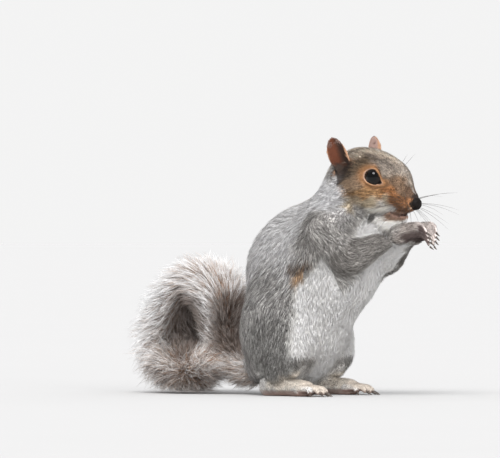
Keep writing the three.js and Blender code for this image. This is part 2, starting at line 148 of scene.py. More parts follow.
# The lie of the coat, as strokes of a brush down the left side. Each stroke has the part of the body that it
# is on, where it starts and ends in millimetres, and how deep the coat stands at both.
STROKES = [
    ("head", (97, 2, 138), (80, 4, 153), 0.5, 0.9),  # bridge of the nose
    ("head", (80, 5, 154), (52, 8, 171), 1.0, 2.0),  # forehead and crown
    ("head", (95, 6, 132), (72, 14, 140), 0.5, 1.0),  # muzzle and cheek
    ("head", (74, 16, 158), (52, 20, 152), 0.9, 2.0),  # temple
    ("head", (70, 16, 138), (48, 22, 134), 1.2, 3.0),  # jaw
    ("head", (92, 0, 121), (68, 0, 121), 0.6, 2.0),  # chin
    ("neck", (52, 6, 172), (24, 8, 142), 2.4, 4.4),  # nape
    ("neck", (44, 22, 140), (26, 27, 122), 3.0, 4.2),  # side of the neck
    ("neck", (68, 0, 121), (68, 0, 106), 1.4, 2.0),  # throat
    ("neck", (54, 14, 128), (62, 12, 110), 2.6, 2.4),  # side of the throat
    ("back", (24, 8, 141), (-20, 12, 122), 4.6, 5.0),  # withers
    ("back", (-20, 10, 122), (-43, 10, 80), 5.0, 5.0),  # back
    ("rump", (-43, 10, 80), (-42, 10, 22), 5.0, 4.0),  # rump
    ("rump", (-34, 0, 6), (10, 0, 1), 2.6, 1.4),  # under the rump
    ("back", (18, 34, 112), (0, 36, 76), 4.6, 4.8),  # ribs
    ("front", (62, 0, 106), (57, 0, 78), 3.4, 4.2),  # breast
    ("front", (32, 30, 90), (24, 32, 50), 4.2, 4.2),  # flank
    ("front", (56, 0, 76), (40, 0, 40), 4.2, 4.4),  # belly
    ("front", (40, 0, 38), (18, 0, 4), 4.2, 2.0),  # groin
    ("arm", (34, 38, 118), (56, 34, 96), 4.0, 3.2),  # upper arm
    ("arm", (56, 30, 92), (89, 12, 111), 2.8, 2.0),  # forearm
    ("hand", (91, 11, 112), (112, 7, 114), 1.9, 0.4),  # hand
    ("leg", (-16, 42, 76), (-10, 43, 34), 4.8, 4.0),  # haunch
    ("leg", (12, 42, 52), (4, 38, 18), 4.2, 2.6),  # knee
    ("foot", (-20, 34, 26), (-12, 29, 10), 3.2, 1.2),  # heel
    ("foot", (-6, 27, 12), (24, 28, 9), 1.2, 0.6),  # top of the foot
    ("foot", (24, 28, 8), (46, 29, 4), 0.5, 0.3),  # toes
    ("ear", (48.3, 17, 157), (44.6, 26.6, 179.6), 0.7, 0.3),
    ("tail", (-50, 0, 19), (-62, 0, 40), 2.0, 1.0),
    ("tail", (-62, 0, 40), (-66, 0, 66), 1.0, 1.0),
    ("tail", (-66, 0, 66), (-100, 0, 74), 1.0, 1.0),
    ("tail", (-100, 0, 74), (-114, 0, 40), 1.0, 1.0),
    ("tail", (-114, 0, 40), (-88, 8, 12), 1.0, 1.0),
]
PARTS = ["head", "ear", "neck", "back", "rump", "front", "arm", "hand", "leg", "foot", "tail"]


def on(part, *names):
    """Which places are on these parts of the body."""
    return np.isin(part, [PARTS.index(name) for name in names])


def on_body(co):
    """Places in millimetres from the floor under the middle of the trunk, all on the left side."""
    p = co / MM - (TRUNK_X, 0, 0)
    p[:, 1] = np.abs(p[:, 1])
    return p


def mirror_of(co):
    """What turns each place's own side into the left one, and back."""
    return np.column_stack([np.ones(len(co)), np.where(co[:, 1] < 0, -1, 1), np.ones(len(co))])


def from_body(p, side=1):
    """Places in metres, on their own side, from millimetres on the body's left."""
    return (np.multiply(p, side) + (TRUNK_X, 0, 0)) * MM


def lie_of(co):
    """How the coat lies at each place: its direction, its depth in metres, and the part of the body."""
    p = on_body(co)
    way = np.zeros_like(p)
    depth = np.zeros(len(p))
    total = np.zeros(len(p))
    nearest = np.full(len(p), np.inf)
    part = np.zeros(len(p), int)
    for name, start, end, depth_start, depth_end in STROKES:
        run = np.subtract(end, start)
        length = np.linalg.norm(run)
        t = np.clip((p - start) @ run / length**2, 0, 1)
        away = np.linalg.norm(p - start - t[:, None] * run, axis=1)
        weight = 1 / (away + 3) ** 4
        way += weight[:, None] * run / length
        depth += weight * (depth_start + t * (depth_end - depth_start))
        total += weight
        part[away < nearest] = PARTS.index(name)
        nearest = np.minimum(nearest, away)
    return unit(way * mirror_of(co)), depth / total * MM, part


def from_line(p, places):
    """The distance of each place from a line through these places."""
    best = np.full(len(p), np.inf)
    for start, end in zip(places, places[1:]):
        run = np.subtract(end, start)
        t = np.clip((p - start) @ run / (run @ run), 0, 1)
        best = np.minimum(best, np.linalg.norm(p - start - t[:, None] * run, axis=1))
    return best


flesh = joined([solid_copy(node, CUT) for node in FLESH + FEATURES + LIMBS], "flesh")
modified(flesh, "REMESH", mode="VOXEL", voxel_size=FLESH_CELL)
flesh_points = points_of(flesh)
flesh_depth = lie_of(flesh_points)[1] + CUT
outline = surface_of(flesh, flesh_points)
softness = np.clip(flesh_depth / SOFT_DEPTH, 0.15, 0.9)
for _ in range(DRAW_STEPS):
    flesh_points = flesh_points - normals_of(flesh) * (flesh_depth / DRAW_STEPS)[:, None]
    flesh_points = evened(flesh, flesh_points, 4, softness)
    put(flesh, flesh_points)
for _ in range(DRAW_CHECKS):
    sunk = np.array([outline.find_nearest(place)[3] for place in flesh_points])
    amiss = np.clip(sunk - flesh_depth, -MM, 2 * MM)
    flesh_points = evened(flesh, flesh_points + normals_of(flesh) * amiss[:, None], 2, 0.5)
    put(flesh, flesh_points)

# ---------------------------------------------------------------- skin
# One skin over the flesh, ears, paws, feet and the bone of the tail, so that no seam shows. The folds are
# worked into it afterwards: lids that lie on the eyeballs, the line of the mouth and the cleft of the nose.
THIN = -0.25 * MM  # the ears and paws have almost no coat, so they lose little
SKIN_CELL = 0.5 * MM
SKIN_FACES = 175000
JOINTS = [  # balls that fill the wrist, the corner of the jaw and the ankle out, and their radius
    ((86.5, 10.4, 111), 4.6), ((95, 8.2, 114.2), 4.4), ((70, 5, 121.5), 4.6), ((3, 26.5, 15), 8.5),
    ((-4, 26.5, 11), 6.5),
]
THROAT = [  # a filling from breast to chin, and its radius
    ((56, 0, 106), 13), ((64, 0, 112.5), 11), ((73, 0, 118.5), 9.2), ((81, 0, 122.3), 6.6),
    ((89, 0, 125.5), 3.2),
]
WRIST = [(84, 11, 110), (96, 8.5, 114)]
JAW_EVENED, WRIST_EVENED, EVEN_ROUNDS = 0.6, 0.7, 60
EARS = [("left", 1.09, 0.3), ("right", 1.02, 0.1)]  # how much taller than its solid each is, and wider
EAR_HALF_WIDTH, EAR_NARROWS, EAR_HOLLOW = 7.6, 2, 1.1
EAR_BASE, EAR_TIP = np.array((48.5, 16, 155)), np.array((44.6, 26.6, 179.6))
EAR_UP = unit(EAR_TIP - EAR_BASE)
EAR_OPEN = np.array((0.35, 0.94, 0))
EAR_OPEN = unit(EAR_OPEN - (EAR_OPEN @ EAR_UP) * EAR_UP)
EAR_FRONT = np.cross(EAR_OPEN, EAR_UP)
TAIL_BONE = [  # where the tail's bone runs, and its radius with the skin
    ((-24, 0, 19), 11), ((-44, 0, 18), 8.5), ((-57, 0, 26), 7), ((-63, 0, 43), 6.2),
    ((-65, 0, 61), 5.6), ((-72, 0, 75), 5.2), ((-87, 0, 80), 4.8), ((-100, 0, 70), 4.4),
    ((-109, 0, 54), 4), ((-113, -1, 37), 3.6), ((-106, -3, 21), 3.2), ((-93, -6, 14), 2.6),
    ((-87, -8, 12), 1.8),
]
ROD_SIDES = 16


def tapered(name, places, radii, sides):
    """A closed round rod through these places, which swells and thins as the radii say."""
    curve = bpy.data.curves.new(name, "CURVE")
    curve.dimensions = "3D"
    curve.bevel_depth = 1
    curve.bevel_resolution = sides // 2 - 2
    curve.resolution_u = 6
    curve.use_fill_caps = True
    spline = curve.splines.new("NURBS")
    spline.points.add(len(places) - 1)
    spline.order_u = 3
    spline.use_endpoint_u = True
    for point, place, radius in zip(spline.points, places, radii):
        point.co = (*place, 1)
        point.radius = radius
    piece = bpy.data.objects.new(name, curve)
    bpy.context.scene.collection.objects.link(piece)
    only(piece)
    bpy.ops.object.convert(target="MESH")
    return bpy.context.object


def ball(centre, radius):
    bpy.ops.object.select_all(action="DESELECT")
    bpy.ops.mesh.primitive_uv_sphere_add(segments=24, ring_count=16, radius=radius, location=tuple(centre))
    only(bpy.context.object)
    bpy.ops.object.transform_apply(location=True, rotation=True, scale=True)
    return bpy.context.object


def both(*parts):
    return [f"{part}_{side}" for part in parts for side in ("left", "right")]


# paws and feet, then the ears, which are stretched and widened a little, and the fillings
added = [solid_copy(name, THIN) for name in both("forepaw", "hind_foot")]
for side, taller, wider in EARS:
    ear = solid_copy("ear_" + side, THIN)
    body = on_body(points_of(ear)) - EAR_BASE
    height = np.clip(body @ EAR_UP, 0, None)[:, None]
    across = EAR_FRONT * (body @ EAR_FRONT)[:, None]
    body += EAR_UP * height * (taller - 1) + across * wider * step(height, 4, 18)
    put(ear, from_body(body + EAR_BASE, mirror_of(points_of(ear))))
    added.append(ear)
for place, radius in JOINTS:
    added += [ball(from_body(place, (1, sign, 1)), radius * MM) for sign in (1, -1)]
for name, rod in (("tail_bone", TAIL_BONE), ("throat", THROAT)):
    places, radii = [from_body(place) for place, _ in rod], [radius * MM for _, radius in rod]
    added.append(tapered(name, places, radii, ROD_SIDES))
skin = joined([flesh, *added], "skin")
modified(skin, "REMESH", mode="VOXEL", voxel_size=SKIN_CELL)
skin_points = evened(skin, points_of(skin), 4, 0.5)

# under the jaw and at the wrists the balls and rods are evened out
body = on_body(skin_points)
chin = body[:, 0] > 82
under_jaw = step(from_line(body, [place for place, _ in THROAT]), 17, 9)
under_jaw *= step(body[:, 2], np.where(chin, 127, 133), np.where(chin, 121, 125))
wrists = step(from_line(body, WRIST), 8, 4)
softened = JAW_EVENED * np.maximum(under_jaw, WRIST_EVENED * wrists)
skin_points = evened(skin, skin_points, EVEN_ROUNDS, softened)
put(skin, skin_points)

NOSE_TIP = np.array((100, 0, 133))
HEAD_PITCH = math.radians(12)
FORWARD = np.array((math.cos(HEAD_PITCH), 0, -math.sin(HEAD_PITCH)))
UPWARD = np.array((math.sin(HEAD_PITCH), 0, math.cos(HEAD_PITCH)))
EYE_RADIUS = 6.9
LID_LIES = 0.5  # how far the lids lie off the eyeball
BEHIND_EYE = 0.9  # how far the skin is sunk behind its surface within the opening
RIM_HIGH, CREASE_DEEP = 0.35, 0.3
LID_FRONT, LID_BACK, LID_HIGH, LID_DROOPS = 0.97, 0.84, 0.62, 0.38  # the opening, in radii of the eye
EYE = NOSE_TIP - 32 * FORWARD + 12.4 * UPWARD + (0, 12.7, 0)
GAZE = unit(np.array((0.26, 0.95, 0.17)))  # the way the left eye looks
LID_ACROSS = unit(FORWARD - (FORWARD @ GAZE) * GAZE)
LID_UP = unit(np.cross(LID_ACROSS, GAZE))
LID_UP = LID_UP * np.sign(LID_UP[2])
MOUTH = [(97.5, 0, 127.3), (92.5, 4.6, 126.2), (86, 8, 125.6), (79.5, 10.5, 127.2)]
CLEFT = [(101, 0, 130), (97.5, 0, 127.3)]
NOSTRIL = [(98.4, 3.6, 130.8), (96.8, 4.5, 131.6), (95.6, 5.0, 133.2), (96.4, 4.6, 135.2)]
FINGERS = (-1.5, -0.5, 0.5, 1.5)  # the four fingers, counted across the hand from its middle
LIP_ROLL, MOUTH_DEEP, CLEFT_DEEP = 0.15, 0.9, 0.6


def mouth_of(p):
    """How far each place is above or below the line of the lips."""
    line = np.array(MOUTH)[::-1]
    behind = np.clip(line[0, 0] - p[:, 0], 0, None)
    return np.abs(p[:, 2] - np.interp(p[:, 0], line[:, 0], line[:, 2])) + 3 * behind


def between_fingers(p):
    """How much nearer each place is to one finger than to the next, and how far out along the hand it is."""
    lines = []
    for fan in FINGERS:
        knuckle = np.array((103 - 0.7 * abs(fan), 6.8 + 0.9 * fan, 116.2 + 2.2 * fan))
        middle = knuckle + (5, -0.9 + 0.2 * fan, -1.8 + 0.5 * fan)
        end = middle + (3.2, -1.5, -5.6 + 0.3 * fan)
        lines.append(from_line(p, [knuckle - (8, 0, 0), knuckle, middle, end]))
    first, second = np.sort(lines, axis=0)[:2]
    return second - first, p[:, 0] + 0.6 * np.clip(112 - p[:, 2], 0, None)


def lid_of(p):
    """How far out each place is, where the edge of the lids is 1, and how far from the middle of the eye."""
    out = (p - EYE) / EYE_RADIUS
    across, up = out @ LID_ACROSS, out @ LID_UP
    ahead = np.clip(across, 0, 1)
    high = LID_HIGH * (1 - 0.5 * ahead**2)
    ring = np.hypot(across / np.where(across > 0, LID_FRONT, LID_BACK), (up + LID_DROOPS * ahead) / high)
    return np.where(out @ GAZE > 0, ring, 9), EYE_RADIUS * np.linalg.norm(out, axis=1)


def ear_of(p, normal):
    """Height up the ear, place across it from -1 at the back rim to 1 at the front, and how it faces out."""
    out = p - EAR_BASE
    height = out @ EAR_UP / np.linalg.norm(EAR_TIP - EAR_BASE)
    across = out @ EAR_FRONT / (EAR_HALF_WIDTH - EAR_NARROWS * height)
    return height, across, normal @ EAR_OPEN


def ridge(away, width):
    """1 in the middle of a fold, falling to nothing about two widths away."""
    return np.exp(-((away / width) ** 2))


def pick_faces(piece, wanted):
    """Goes into edit mode with the faces picked whose middles are wanted."""
    only(piece)
    chosen = wanted(on_body(rows_of(piece.data.polygons, "center")))
    piece.data.polygons.foreach_set("select", chosen)
    piece.data.vertices.foreach_set("select", np.zeros(len(piece.data.vertices), bool))
    piece.data.edges.foreach_set("select", np.zeros(len(piece.data.edges), bool))
    bpy.ops.object.mode_set(mode="EDIT")
    bpy.ops.mesh.select_mode(type="FACE")


pick_faces(skin, lambda p: (np.linalg.norm(p - EYE, axis=1) < 11) | (mouth_of(p) < 3))
bpy.ops.mesh.subdivide(number_cuts=1, smoothness=0)
bpy.ops.object.mode_set(mode="OBJECT")
skin_points = evened(skin, points_of(skin), 2, 0.5)

# the lids lie on the eyeball, with a rim and a crease, and behind the opening the skin is sunk
side = mirror_of(skin_points)
body = on_body(skin_points)
ring, far = lid_of(body)
lid = np.maximum(far, EYE_RADIUS + LID_LIES)
lid += RIM_HIGH * ridge(ring - 1.1, 0.07) - CREASE_DEEP * ridge(ring - 1.3, 0.06)
lid = far + (lid - far) * step(ring, 1.6, 1.35)
sunk = EYE_RADIUS - BEHIND_EYE
lid = sunk + (lid - sunk) * step(ring, 0.97, 1.04)
body = EYE + (body - EYE) * (lid / far)[:, None]
skin_points = from_body(body, side)
put(skin, skin_points)

# the hollow of the ears, then the lips and the cleft under the nose
height, across, faces = ear_of(body, normals_of(skin) * side)
hollow = step(height, 0.02, 0.3) * step(height, 0.98, 0.8)
hollow = hollow * step(np.abs(across), 1, 0.45) * step(faces, 0.2, 0.6)
hollow = np.where(on(lie_of(skin_points)[2], "ear"), hollow, 0)
put(skin, skin_points - EAR_OPEN * side * hollow[:, None] * EAR_HOLLOW * MM)
mouth = mouth_of(body)
rise = LIP_ROLL * ridge(mouth - 1.7, 0.7) - MOUTH_DEEP * ridge(mouth, 0.5)
rise = np.where(body[:, 0] > 76, rise, 0) - CLEFT_DEEP * ridge(from_line(body, CLEFT), 0.5)
put(skin, points_of(skin) + normals_of(skin) * rise[:, None] * MM)
modified(skin, "DECIMATE", ratio=SKIN_FACES / (2 * len(skin.data.polygons)), use_collapse_triangulate=True)
skin.data.shade_smooth()

skin.data.uv_layers.new(name="OFBake")
only(skin)
bpy.ops.object.mode_set(mode="EDIT")
bpy.ops.mesh.select_all(action="SELECT")
bpy.ops.uv.smart_project(angle_limit=math.radians(75), island_margin=0.002)
bpy.ops.object.mode_set(mode="OBJECT")

ON_MUZZLE = 14  # the first so many whiskers, whose roots are dark spots
WHISKERS = [  # root, the way it grows, and its length, in millimetres
    ((93, 7.2, 136.5), (0.55, 0.75, 0.30), 36), ((91, 8.2, 136.5), (0.30, 0.85, 0.25), 40),
    ((88.5, 9.4, 136.5), (0.05, 0.90, 0.22), 42), ((86, 10.3, 136), (-0.25, 0.90, 0.18), 38),
    ((94, 7, 134), (0.60, 0.72, 0.02), 34), ((91.5, 8.4, 134), (0.35, 0.85, -0.02), 41),
    ((88.5, 9.7, 134), (0.05, 0.92, -0.05), 43), ((86, 10.6, 133.5), (-0.28, 0.90, -0.08), 38),
    ((94.5, 6.4, 131.7), (0.62, 0.66, -0.30), 26), ((92, 8, 131.7), (0.38, 0.80, -0.34), 33),
    ((89, 9.2, 131.5), (0.08, 0.88, -0.38), 36), ((86.5, 10.1, 131.2), (-0.20, 0.86, -0.40), 30),
    ((95, 5.3, 130), (0.60, 0.55, -0.55), 16), ((92, 7, 129.6), (0.40, 0.68, -0.60), 20),
    ((80, 10, 159), (0.35, 0.55, 0.72), 17), ((77, 11, 160), (0.10, 0.62, 0.75), 15),
    ((74, 19, 141), (-0.1, 0.9, -0.2), 18),
]

# The colours of the coat, as dabs laid one over another down the left side. Each has where it starts and
# ends, how far it reaches, how softly it fades, its colour, and how strongly hairs are banded there.
BASE_GREY = ((0.54, 0.525, 0.51), 1.0)
DABS = [
    ((24, 8, 145), (-34, 10, 118), 12, 16, (0.62, 0.48, 0.36), 0.9),  # warm line over the withers
    ((-12, 20, 112), (-36, 18, 30), 20, 16, (0.62, 0.605, 0.60), 0.95),  # pale grey back
    ((12, 20, 126), (-18, 22, 96), 13, 12, (0.86, 0.85, 0.86), 0.85),  # paler still towards the shoulders: partly the coat's own pale grey, partly painted light from the sky above
    ((6, 30, 92), (-10, 32, 74), 8, 12, (0.76, 0.75, 0.755), 0.85),  # and down the flank
    ((46, 22, 141), (30, 18, 146), 10, 9, (0.80, 0.795, 0.81), 0.7),  # side of the neck
    ((50, 12, 164), (42, 12, 156), 5, 6, (0.52, 0.505, 0.49), 0.9),  # greyer nape
    ((55, 26, 127), (47, 32, 113), 6, 6, (0.37, 0.36, 0.355), 1.15),  # painted shade in the folds before the shoulder
    ((34, 38, 118), (56, 34, 96), 11, 8, (0.46, 0.445, 0.43), 1.05),  # upper arm
    ((56, 32, 92), (80, 16, 106), 9, 6, (0.30, 0.285, 0.27), 1.1),  # forearm
    ((-10, 42, 70), (2, 42, 28), 22, 12, (0.48, 0.47, 0.46), 1.0),  # haunch
    ((0, 40, 40), (8, 40, 18), 13, 12, (0.33, 0.325, 0.315), 1.0),  # darker towards the foot
    ((16, 32, 92), (31, 31, 91), 3.5, 3.5, (0.20, 0.165, 0.14), 1.2),  # dark fringe over the flank
    ((22, 33, 85), (23, 33, 79), 5.2, 3.5, (0.46, 0.31, 0.195), 0.7),  # rusty fold of the flank
    ((76, 10, 158), (52, 14, 170), 11, 7, (0.57, 0.475, 0.38), 1.3),  # crown
    ((78, 9, 158), (68, 13, 162), 4, 6, (0.20, 0.16, 0.13), 1.2),  # darker over the eye
    ((92, 4, 147), (78, 8, 156), 6, 5, (0.27, 0.23, 0.195), 1.25),  # forehead
    ((94, 8, 134), (80, 13, 142), 4.5, 4, (0.35, 0.16, 0.066), 1.0),  # rusty side of the muzzle
    ((96, 4, 138), (84, 9, 150), 3.5, 3.0, (0.185, 0.12, 0.078), 1.25),  # side of the nose
    ((98, 1, 138), (93, 4, 143.5), 2.5, 2.5, (0.13, 0.08, 0.052), 0.9),  # brown behind the nose
    ((97, 0, 133.5), (97.4, 0, 135), 4.9, 1.2, (0.028, 0.020, 0.017), 0.1),  # round the nose pad
    ((72, 17, 142), (57, 20, 142), 4, 7, (0.39, 0.23, 0.11), 1.0),  # tawny cheek
    ((82, 14, 133), (58, 20, 132), 3.5, 3.5, (0.47, 0.39, 0.28), 0.7),  # dull lower cheek
    ((80, 11, 126), (66, 15, 126), 3.4, 3, (0.92, 0.87, 0.79), 0.1),  # pale jaw: partly its own cream, partly painted light that lifts the shade in the crease towards the throat
    ((62, 18, 149), (54, 20, 146), 4, 5, (0.40, 0.28, 0.185), 0.9),  # tan behind the eye
    ((64, 16, 161), (54, 17, 157), 3, 6, (0.14, 0.10, 0.065), 1.1),  # dark temple
    ((96, 6, 132.5), (85, 11, 134), 3.9, 2.4, (0.22, 0.105, 0.05), 0.9),  # rusty pad of the whiskers
    ((97, 4, 128.6), (84, 9.5, 129), 2.2, 1.4, (0.15, 0.078, 0.044), 0.8),  # upper lip
    ((96, 0, 129.2), (87, 3.5, 128.6), 2.6, 1.4, (0.17, 0.09, 0.052), 0.8),  # under the muzzle
    ((99, 1.5, 129), (95, 4.6, 130.4), 0.5, 0.6, (0.60, 0.42, 0.30), 0.0),  # pale rim under the nose
    ((89, 0, 119), (66, 0, 116), 6, 3, (0.92, 0.90, 0.87), 0.0),  # chin
    ((84, 7, 120), (70, 11, 121), 4.2, 3, (0.92, 0.89, 0.84), 0.05),  # underside of the jaw
    ((92, 2.5, 125), (79, 6.5, 125), 2.3, 1.7, (0.29, 0.19, 0.135), 0.7),  # lower lip
    ((98, 10, 112), (118, 8, 111), 8, 7, (0.40, 0.355, 0.33), 1.0),  # hand
    ((107, 6, 118), (120, 6, 106), 5.5, 3, (0.66, 0.59, 0.56), 0.3),  # fingers
    ((2, 28, 10), (30, 28, 8), 6, 5, (0.46, 0.42, 0.37), 0.8),  # top of the foot
    ((30, 28, 6), (46, 29, 3), 7, 4, (0.52, 0.46, 0.40), 0.5),  # toes
]
CRISP = 2.5  # dabs that fade over less than this keep to their lines, and the edges of the others waver
FLECK, FLECKED = 1.5, (0.46, 0.17)  # size of the flecks, and how strong they are on the head and elsewhere
BELLY = ((0.92, 0.905, 0.88), 0.0)
BORDER_HEIGHT = [0, 30, 78, 96, 106, 118, 126, 136]  # at these heights the white of belly and breast starts
BORDER_X = [8, 16, 17, 34, 43, 51, 59, 90]  # this far ahead
EAR_RIM, EAR_CUP, EAR_BACK = (0.50, 0.29, 0.18), (0.12, 0.040, 0.021), (0.36, 0.245, 0.21)
# on the next line, the dark of the ear's cup, lobe and notch is painted shade
EAR_DARK, LOBE_SHADE, NOTCH_SHADE = (0.025, 0.016, 0.012), (0.05, 0.034, 0.027), (0.03, 0.02, 0.016)
EAR_NOTCH, EAR_LOBE = [(54.5, 0, 161), (51.5, 0, 153)], [(46, 0, 158), (46.5, 0, 150.5)]
EYE_RING, EYE_OUTER, EYE_LINE = (0.44, 0.28, 0.20), (0.34, 0.175, 0.08), (0.07, 0.04, 0.025)
# the mouth's dark line colour is partly the lips' edge and partly painted shade where they part
BLACK, LIP_EDGE_AND_SHADE, LIP = (0.012, 0.010, 0.009), (0.04, 0.018, 0.015), (0.24, 0.15, 0.12)
# the palm's dark colour is partly its pads and partly painted shade, and it is also used for painted shade
# between the fingers
PALM_PADS_AND_SHADE, SOLE, TAIL_BROWN = (0.10, 0.07, 0.065), (0.30, 0.20, 0.17), (0.17, 0.10, 0.065)


def drift(co, size, seed):
    """A soft random swell from about -1 to 1, which repeats nowhere; size is in millimetres."""
    rng = np.random.default_rng(seed)
    total = np.zeros(len(co))
    for _ in range(7):
        way = rng.normal(size=3)
        way *= 2 * math.pi / (size * MM * rng.uniform(0.8, 1.9)) / np.linalg.norm(way)
        total += np.sin(co @ way + rng.uniform(0, 7))
    return total / 3


def marking_of(co, normal, part):
    """The colour of the coat at each place, and how strongly its hairs are banded."""
    p = on_body(co)
    colour = np.tile(BASE_GREY[0], (len(p), 1))
    banding = np.full(len(p), BASE_GREY[1])

    def lay(amount, hue, bands):
        colour[:] = colour + amount[:, None] * (np.array(hue) - colour)
        banding[:] = banding + amount * (bands - banding)

    wavering = p + np.stack([drift(co, 7, seed) for seed in (41, 42, 43)], axis=1) * 1.5
    for start, end, reach, soft, hue, bands in DABS:
        near = from_line(p if soft < CRISP else wavering, [start, end])
        lay(step(near, reach + soft, reach), hue, bands)
    flecks = drift(co, FLECK, 61) * np.where(on(part, "head"), *FLECKED)
    colour *= 1 + (flecks * np.clip(banding, 0, 1))[:, None]

    # the white of belly and breast, and inside the arms
    border = np.interp(p[:, 2], BORDER_HEIGHT, BORDER_X)
    border = border + step(p[:, 2], 100, 110) * (0.9 * p[:, 1] - 9)
    white = step(p[:, 0] - border + 0.8 * drift(co, 7, 11), -2, 2.5)
    white *= 1 - step(p[:, 0], 74, 80) * step(p[:, 2], 126, 127)
    inner = np.maximum(step(p[:, 1], 16, 9) * (p[:, 0] > -20), p[:, 2] > 30)
    lay(np.where(on(part, "neck", "back", "rump", "front", "leg", "foot"), white * inner, 0), *BELLY)
    inside_arm = step((normal * mirror_of(co))[:, 1], 0.0, -0.5) * step(p[:, 0], 92, 84)
    lay(np.where(on(part, "arm"), inside_arm, 0), *BELLY)

    # painted shade between the fingers, a dark palm that is partly its pads and partly painted shade under
    # the hand, and bare soles
    gap, reached = between_fingers(p)
    lay(0.8 * on(part, "hand") * step(gap, 0.7, 0.25) * step(reached, 102.5, 106), PALM_PADS_AND_SHADE, 0.3)
    lay(0.9 * on(part, "hand") * step(normal[:, 2], 0.15, -0.35), PALM_PADS_AND_SHADE, 0)
    lay(on(part, "foot") * step(normal[:, 2], -0.3, -0.7) * step(p[:, 2], 5, 3.5), SOLE, 0)

    # rings round the eye: tawny, a dark line in front, the pale ring, and the black edges of the lids
    ring = lid_of(p)[0]
    outer = p[:, 1] > 8
    ahead = (p - EYE) @ LID_ACROSS
    lay(step(ring, 2.4, 1.5) * outer, EYE_OUTER, 0.25)
    lay(0.7 * step(np.abs(ring - 1.7), 0.22, 0.05) * step(ahead, -1, 3) * outer, EYE_LINE, 0.3)
    lay(step(ring, 1.33, 1.22) * outer * (0.95 - 0.4 * step(ahead, 0, 4)), EYE_RING, 0.0)
    lay(step(ring, 1.15, 1.10) * outer, BLACK, 0.0)

    # nostril, roots of the whiskers, and mouth, whose dark line is partly the lips' own edge and partly
    # painted shade where they part
    lay(step(from_line(p, NOSTRIL), 1.2, 0.6), BLACK, 0)
    for root, _, _ in WHISKERS[:ON_MUZZLE]:
        lay(0.75 * step(np.linalg.norm(p - root, axis=1), 1.3, 0.5), BLACK, 0)
    mouth = mouth_of(p)
    lay(0.6 * step(mouth, 4.2, 1.6) * step(p[:, 0], 78, 84) * step(p[:, 2], 126.6, 125.6), LIP, 0.4)
    lay(0.6 * step(mouth, 2.0, 1.2), LIP, 0.4)
    # the dark line of the mouth: partly the lips' edge, partly painted shade where they part
    lay(step(mouth, 1.15, 0.6) * (0.4 + 0.6 * step(p[:, 0], 82, 89)), LIP_EDGE_AND_SHADE, 0)

    # the ear: its back, the cup with painted shade at its front and bottom, the rim, and painted shade at
    # the lobe and in the notch at its base
    height, across, faces = ear_of(p, normal * mirror_of(co))
    ear = on(part, "ear") * step(height, -0.06, 0.05)
    lay(ear * step(height, 0.15, 0.5), EAR_BACK, 0.1)
    cup = ear * step(faces, 0.0, 0.35)
    lay(cup, EAR_CUP, 0.1)
    lay(cup * np.maximum(step(height, 0.36, 0.12), step(across, -0.2, 0.45) * 0.85), EAR_DARK, 0.1)
    lay(ear * step(np.abs(across) + 0.5 * step(height, 0.85, 1.02), 0.86, 1.0), EAR_RIM, 0)
    flat = np.where(p[:, 1:2] > 11, p * (1, 0, 1), 0)
    lay(0.9 * step(from_line(flat, EAR_LOBE), 4.4, 2.2), LOBE_SHADE, 0.3)
    lay(0.9 * step(from_line(flat, EAR_NOTCH), 3.2, 1.6), NOTCH_SHADE, 0.1)
    lay(np.where(on(part, "tail"), 1.0, 0), TAIL_BROWN, 0.4)
    return colour, banding


def give(piece, name, kind, values):
    """Stores values on the points of a piece, for its material to read."""
    layer = piece.data.attributes.new(name, kind, "POINT")
    values = np.ascontiguousarray(values, np.float32).ravel()
    layer.data.foreach_set("color" if kind == "FLOAT_COLOR" else "value", values)


def with_alpha(colour):
    return np.column_stack([colour, np.ones(len(colour))])


skin_points = points_of(skin)
skin_colour, skin_banding = marking_of(skin_points, normals_of(skin), lie_of(skin_points)[2])
give(skin, "marking", "FLOAT_COLOR", with_alpha(skin_colour))
give(skin, "banding", "FLOAT", skin_banding)


def feed(tree, socket, value):
    """Sets an input, or links it where the value is another node's output."""
    if isinstance(value, bpy.types.NodeSocket):
        tree.links.new(value, socket)
    else:
        socket.default_value = value


def blended(tree, share, first, second, way="MIX"):
    node = tree.nodes.new("ShaderNodeMix")
    node.data_type = "RGBA"
    node.blend_type = way
    for index, value in ((0, share), (6, first), (7, second)):
        feed(tree, node.inputs[index], value)
    return node.outputs[2]


def faded(tree, value, low, high):
    """0 at low, 1 at high, and smooth between."""
    node = tree.nodes.new("ShaderNodeMapRange")
    node.interpolation_type = "SMOOTHSTEP"
    for name, given in (("Value", value), ("From Min", low), ("From Max", high)):
        feed(tree, node.inputs[name], given)
    return node.outputs["Result"]


def multiplied(tree, first, second):
    node = tree.nodes.new("ShaderNodeMath")
    node.operation = "MULTIPLY"
    feed(tree, node.inputs[0], first)
    feed(tree, node.inputs[1], second)
    return node.outputs[0]


def placed(tree):
    return tree.nodes.new("ShaderNodeTexCoord").outputs["Object"]


def speckled(tree, scale, detail=2.0):
    """Soft noise over the model, of this many swells to the metre."""
    node = tree.nodes.new("ShaderNodeTexNoise")
    for name, value in (("Vector", placed(tree)), ("Scale", scale), ("Detail", detail)):
        feed(tree, node.inputs[name], value)
    return node.outputs["Fac"]


def stored(tree, name, output="Fac"):
    node = tree.nodes.new("ShaderNodeAttribute")
    node.attribute_name = name
    return node.outputs[output]


def finish(name, **values):
    """A new material, its node tree and its shader, with these values on the shader."""
    material = bpy.data.materials.new(name)
    material.use_nodes = True
    shader = material.node_tree.nodes["Principled BSDF"]
    for key, value in values.items():
        shader.inputs[key.replace("_", " ").title().replace("Ior", "IOR")].default_value = value
    return material, material.node_tree, shader


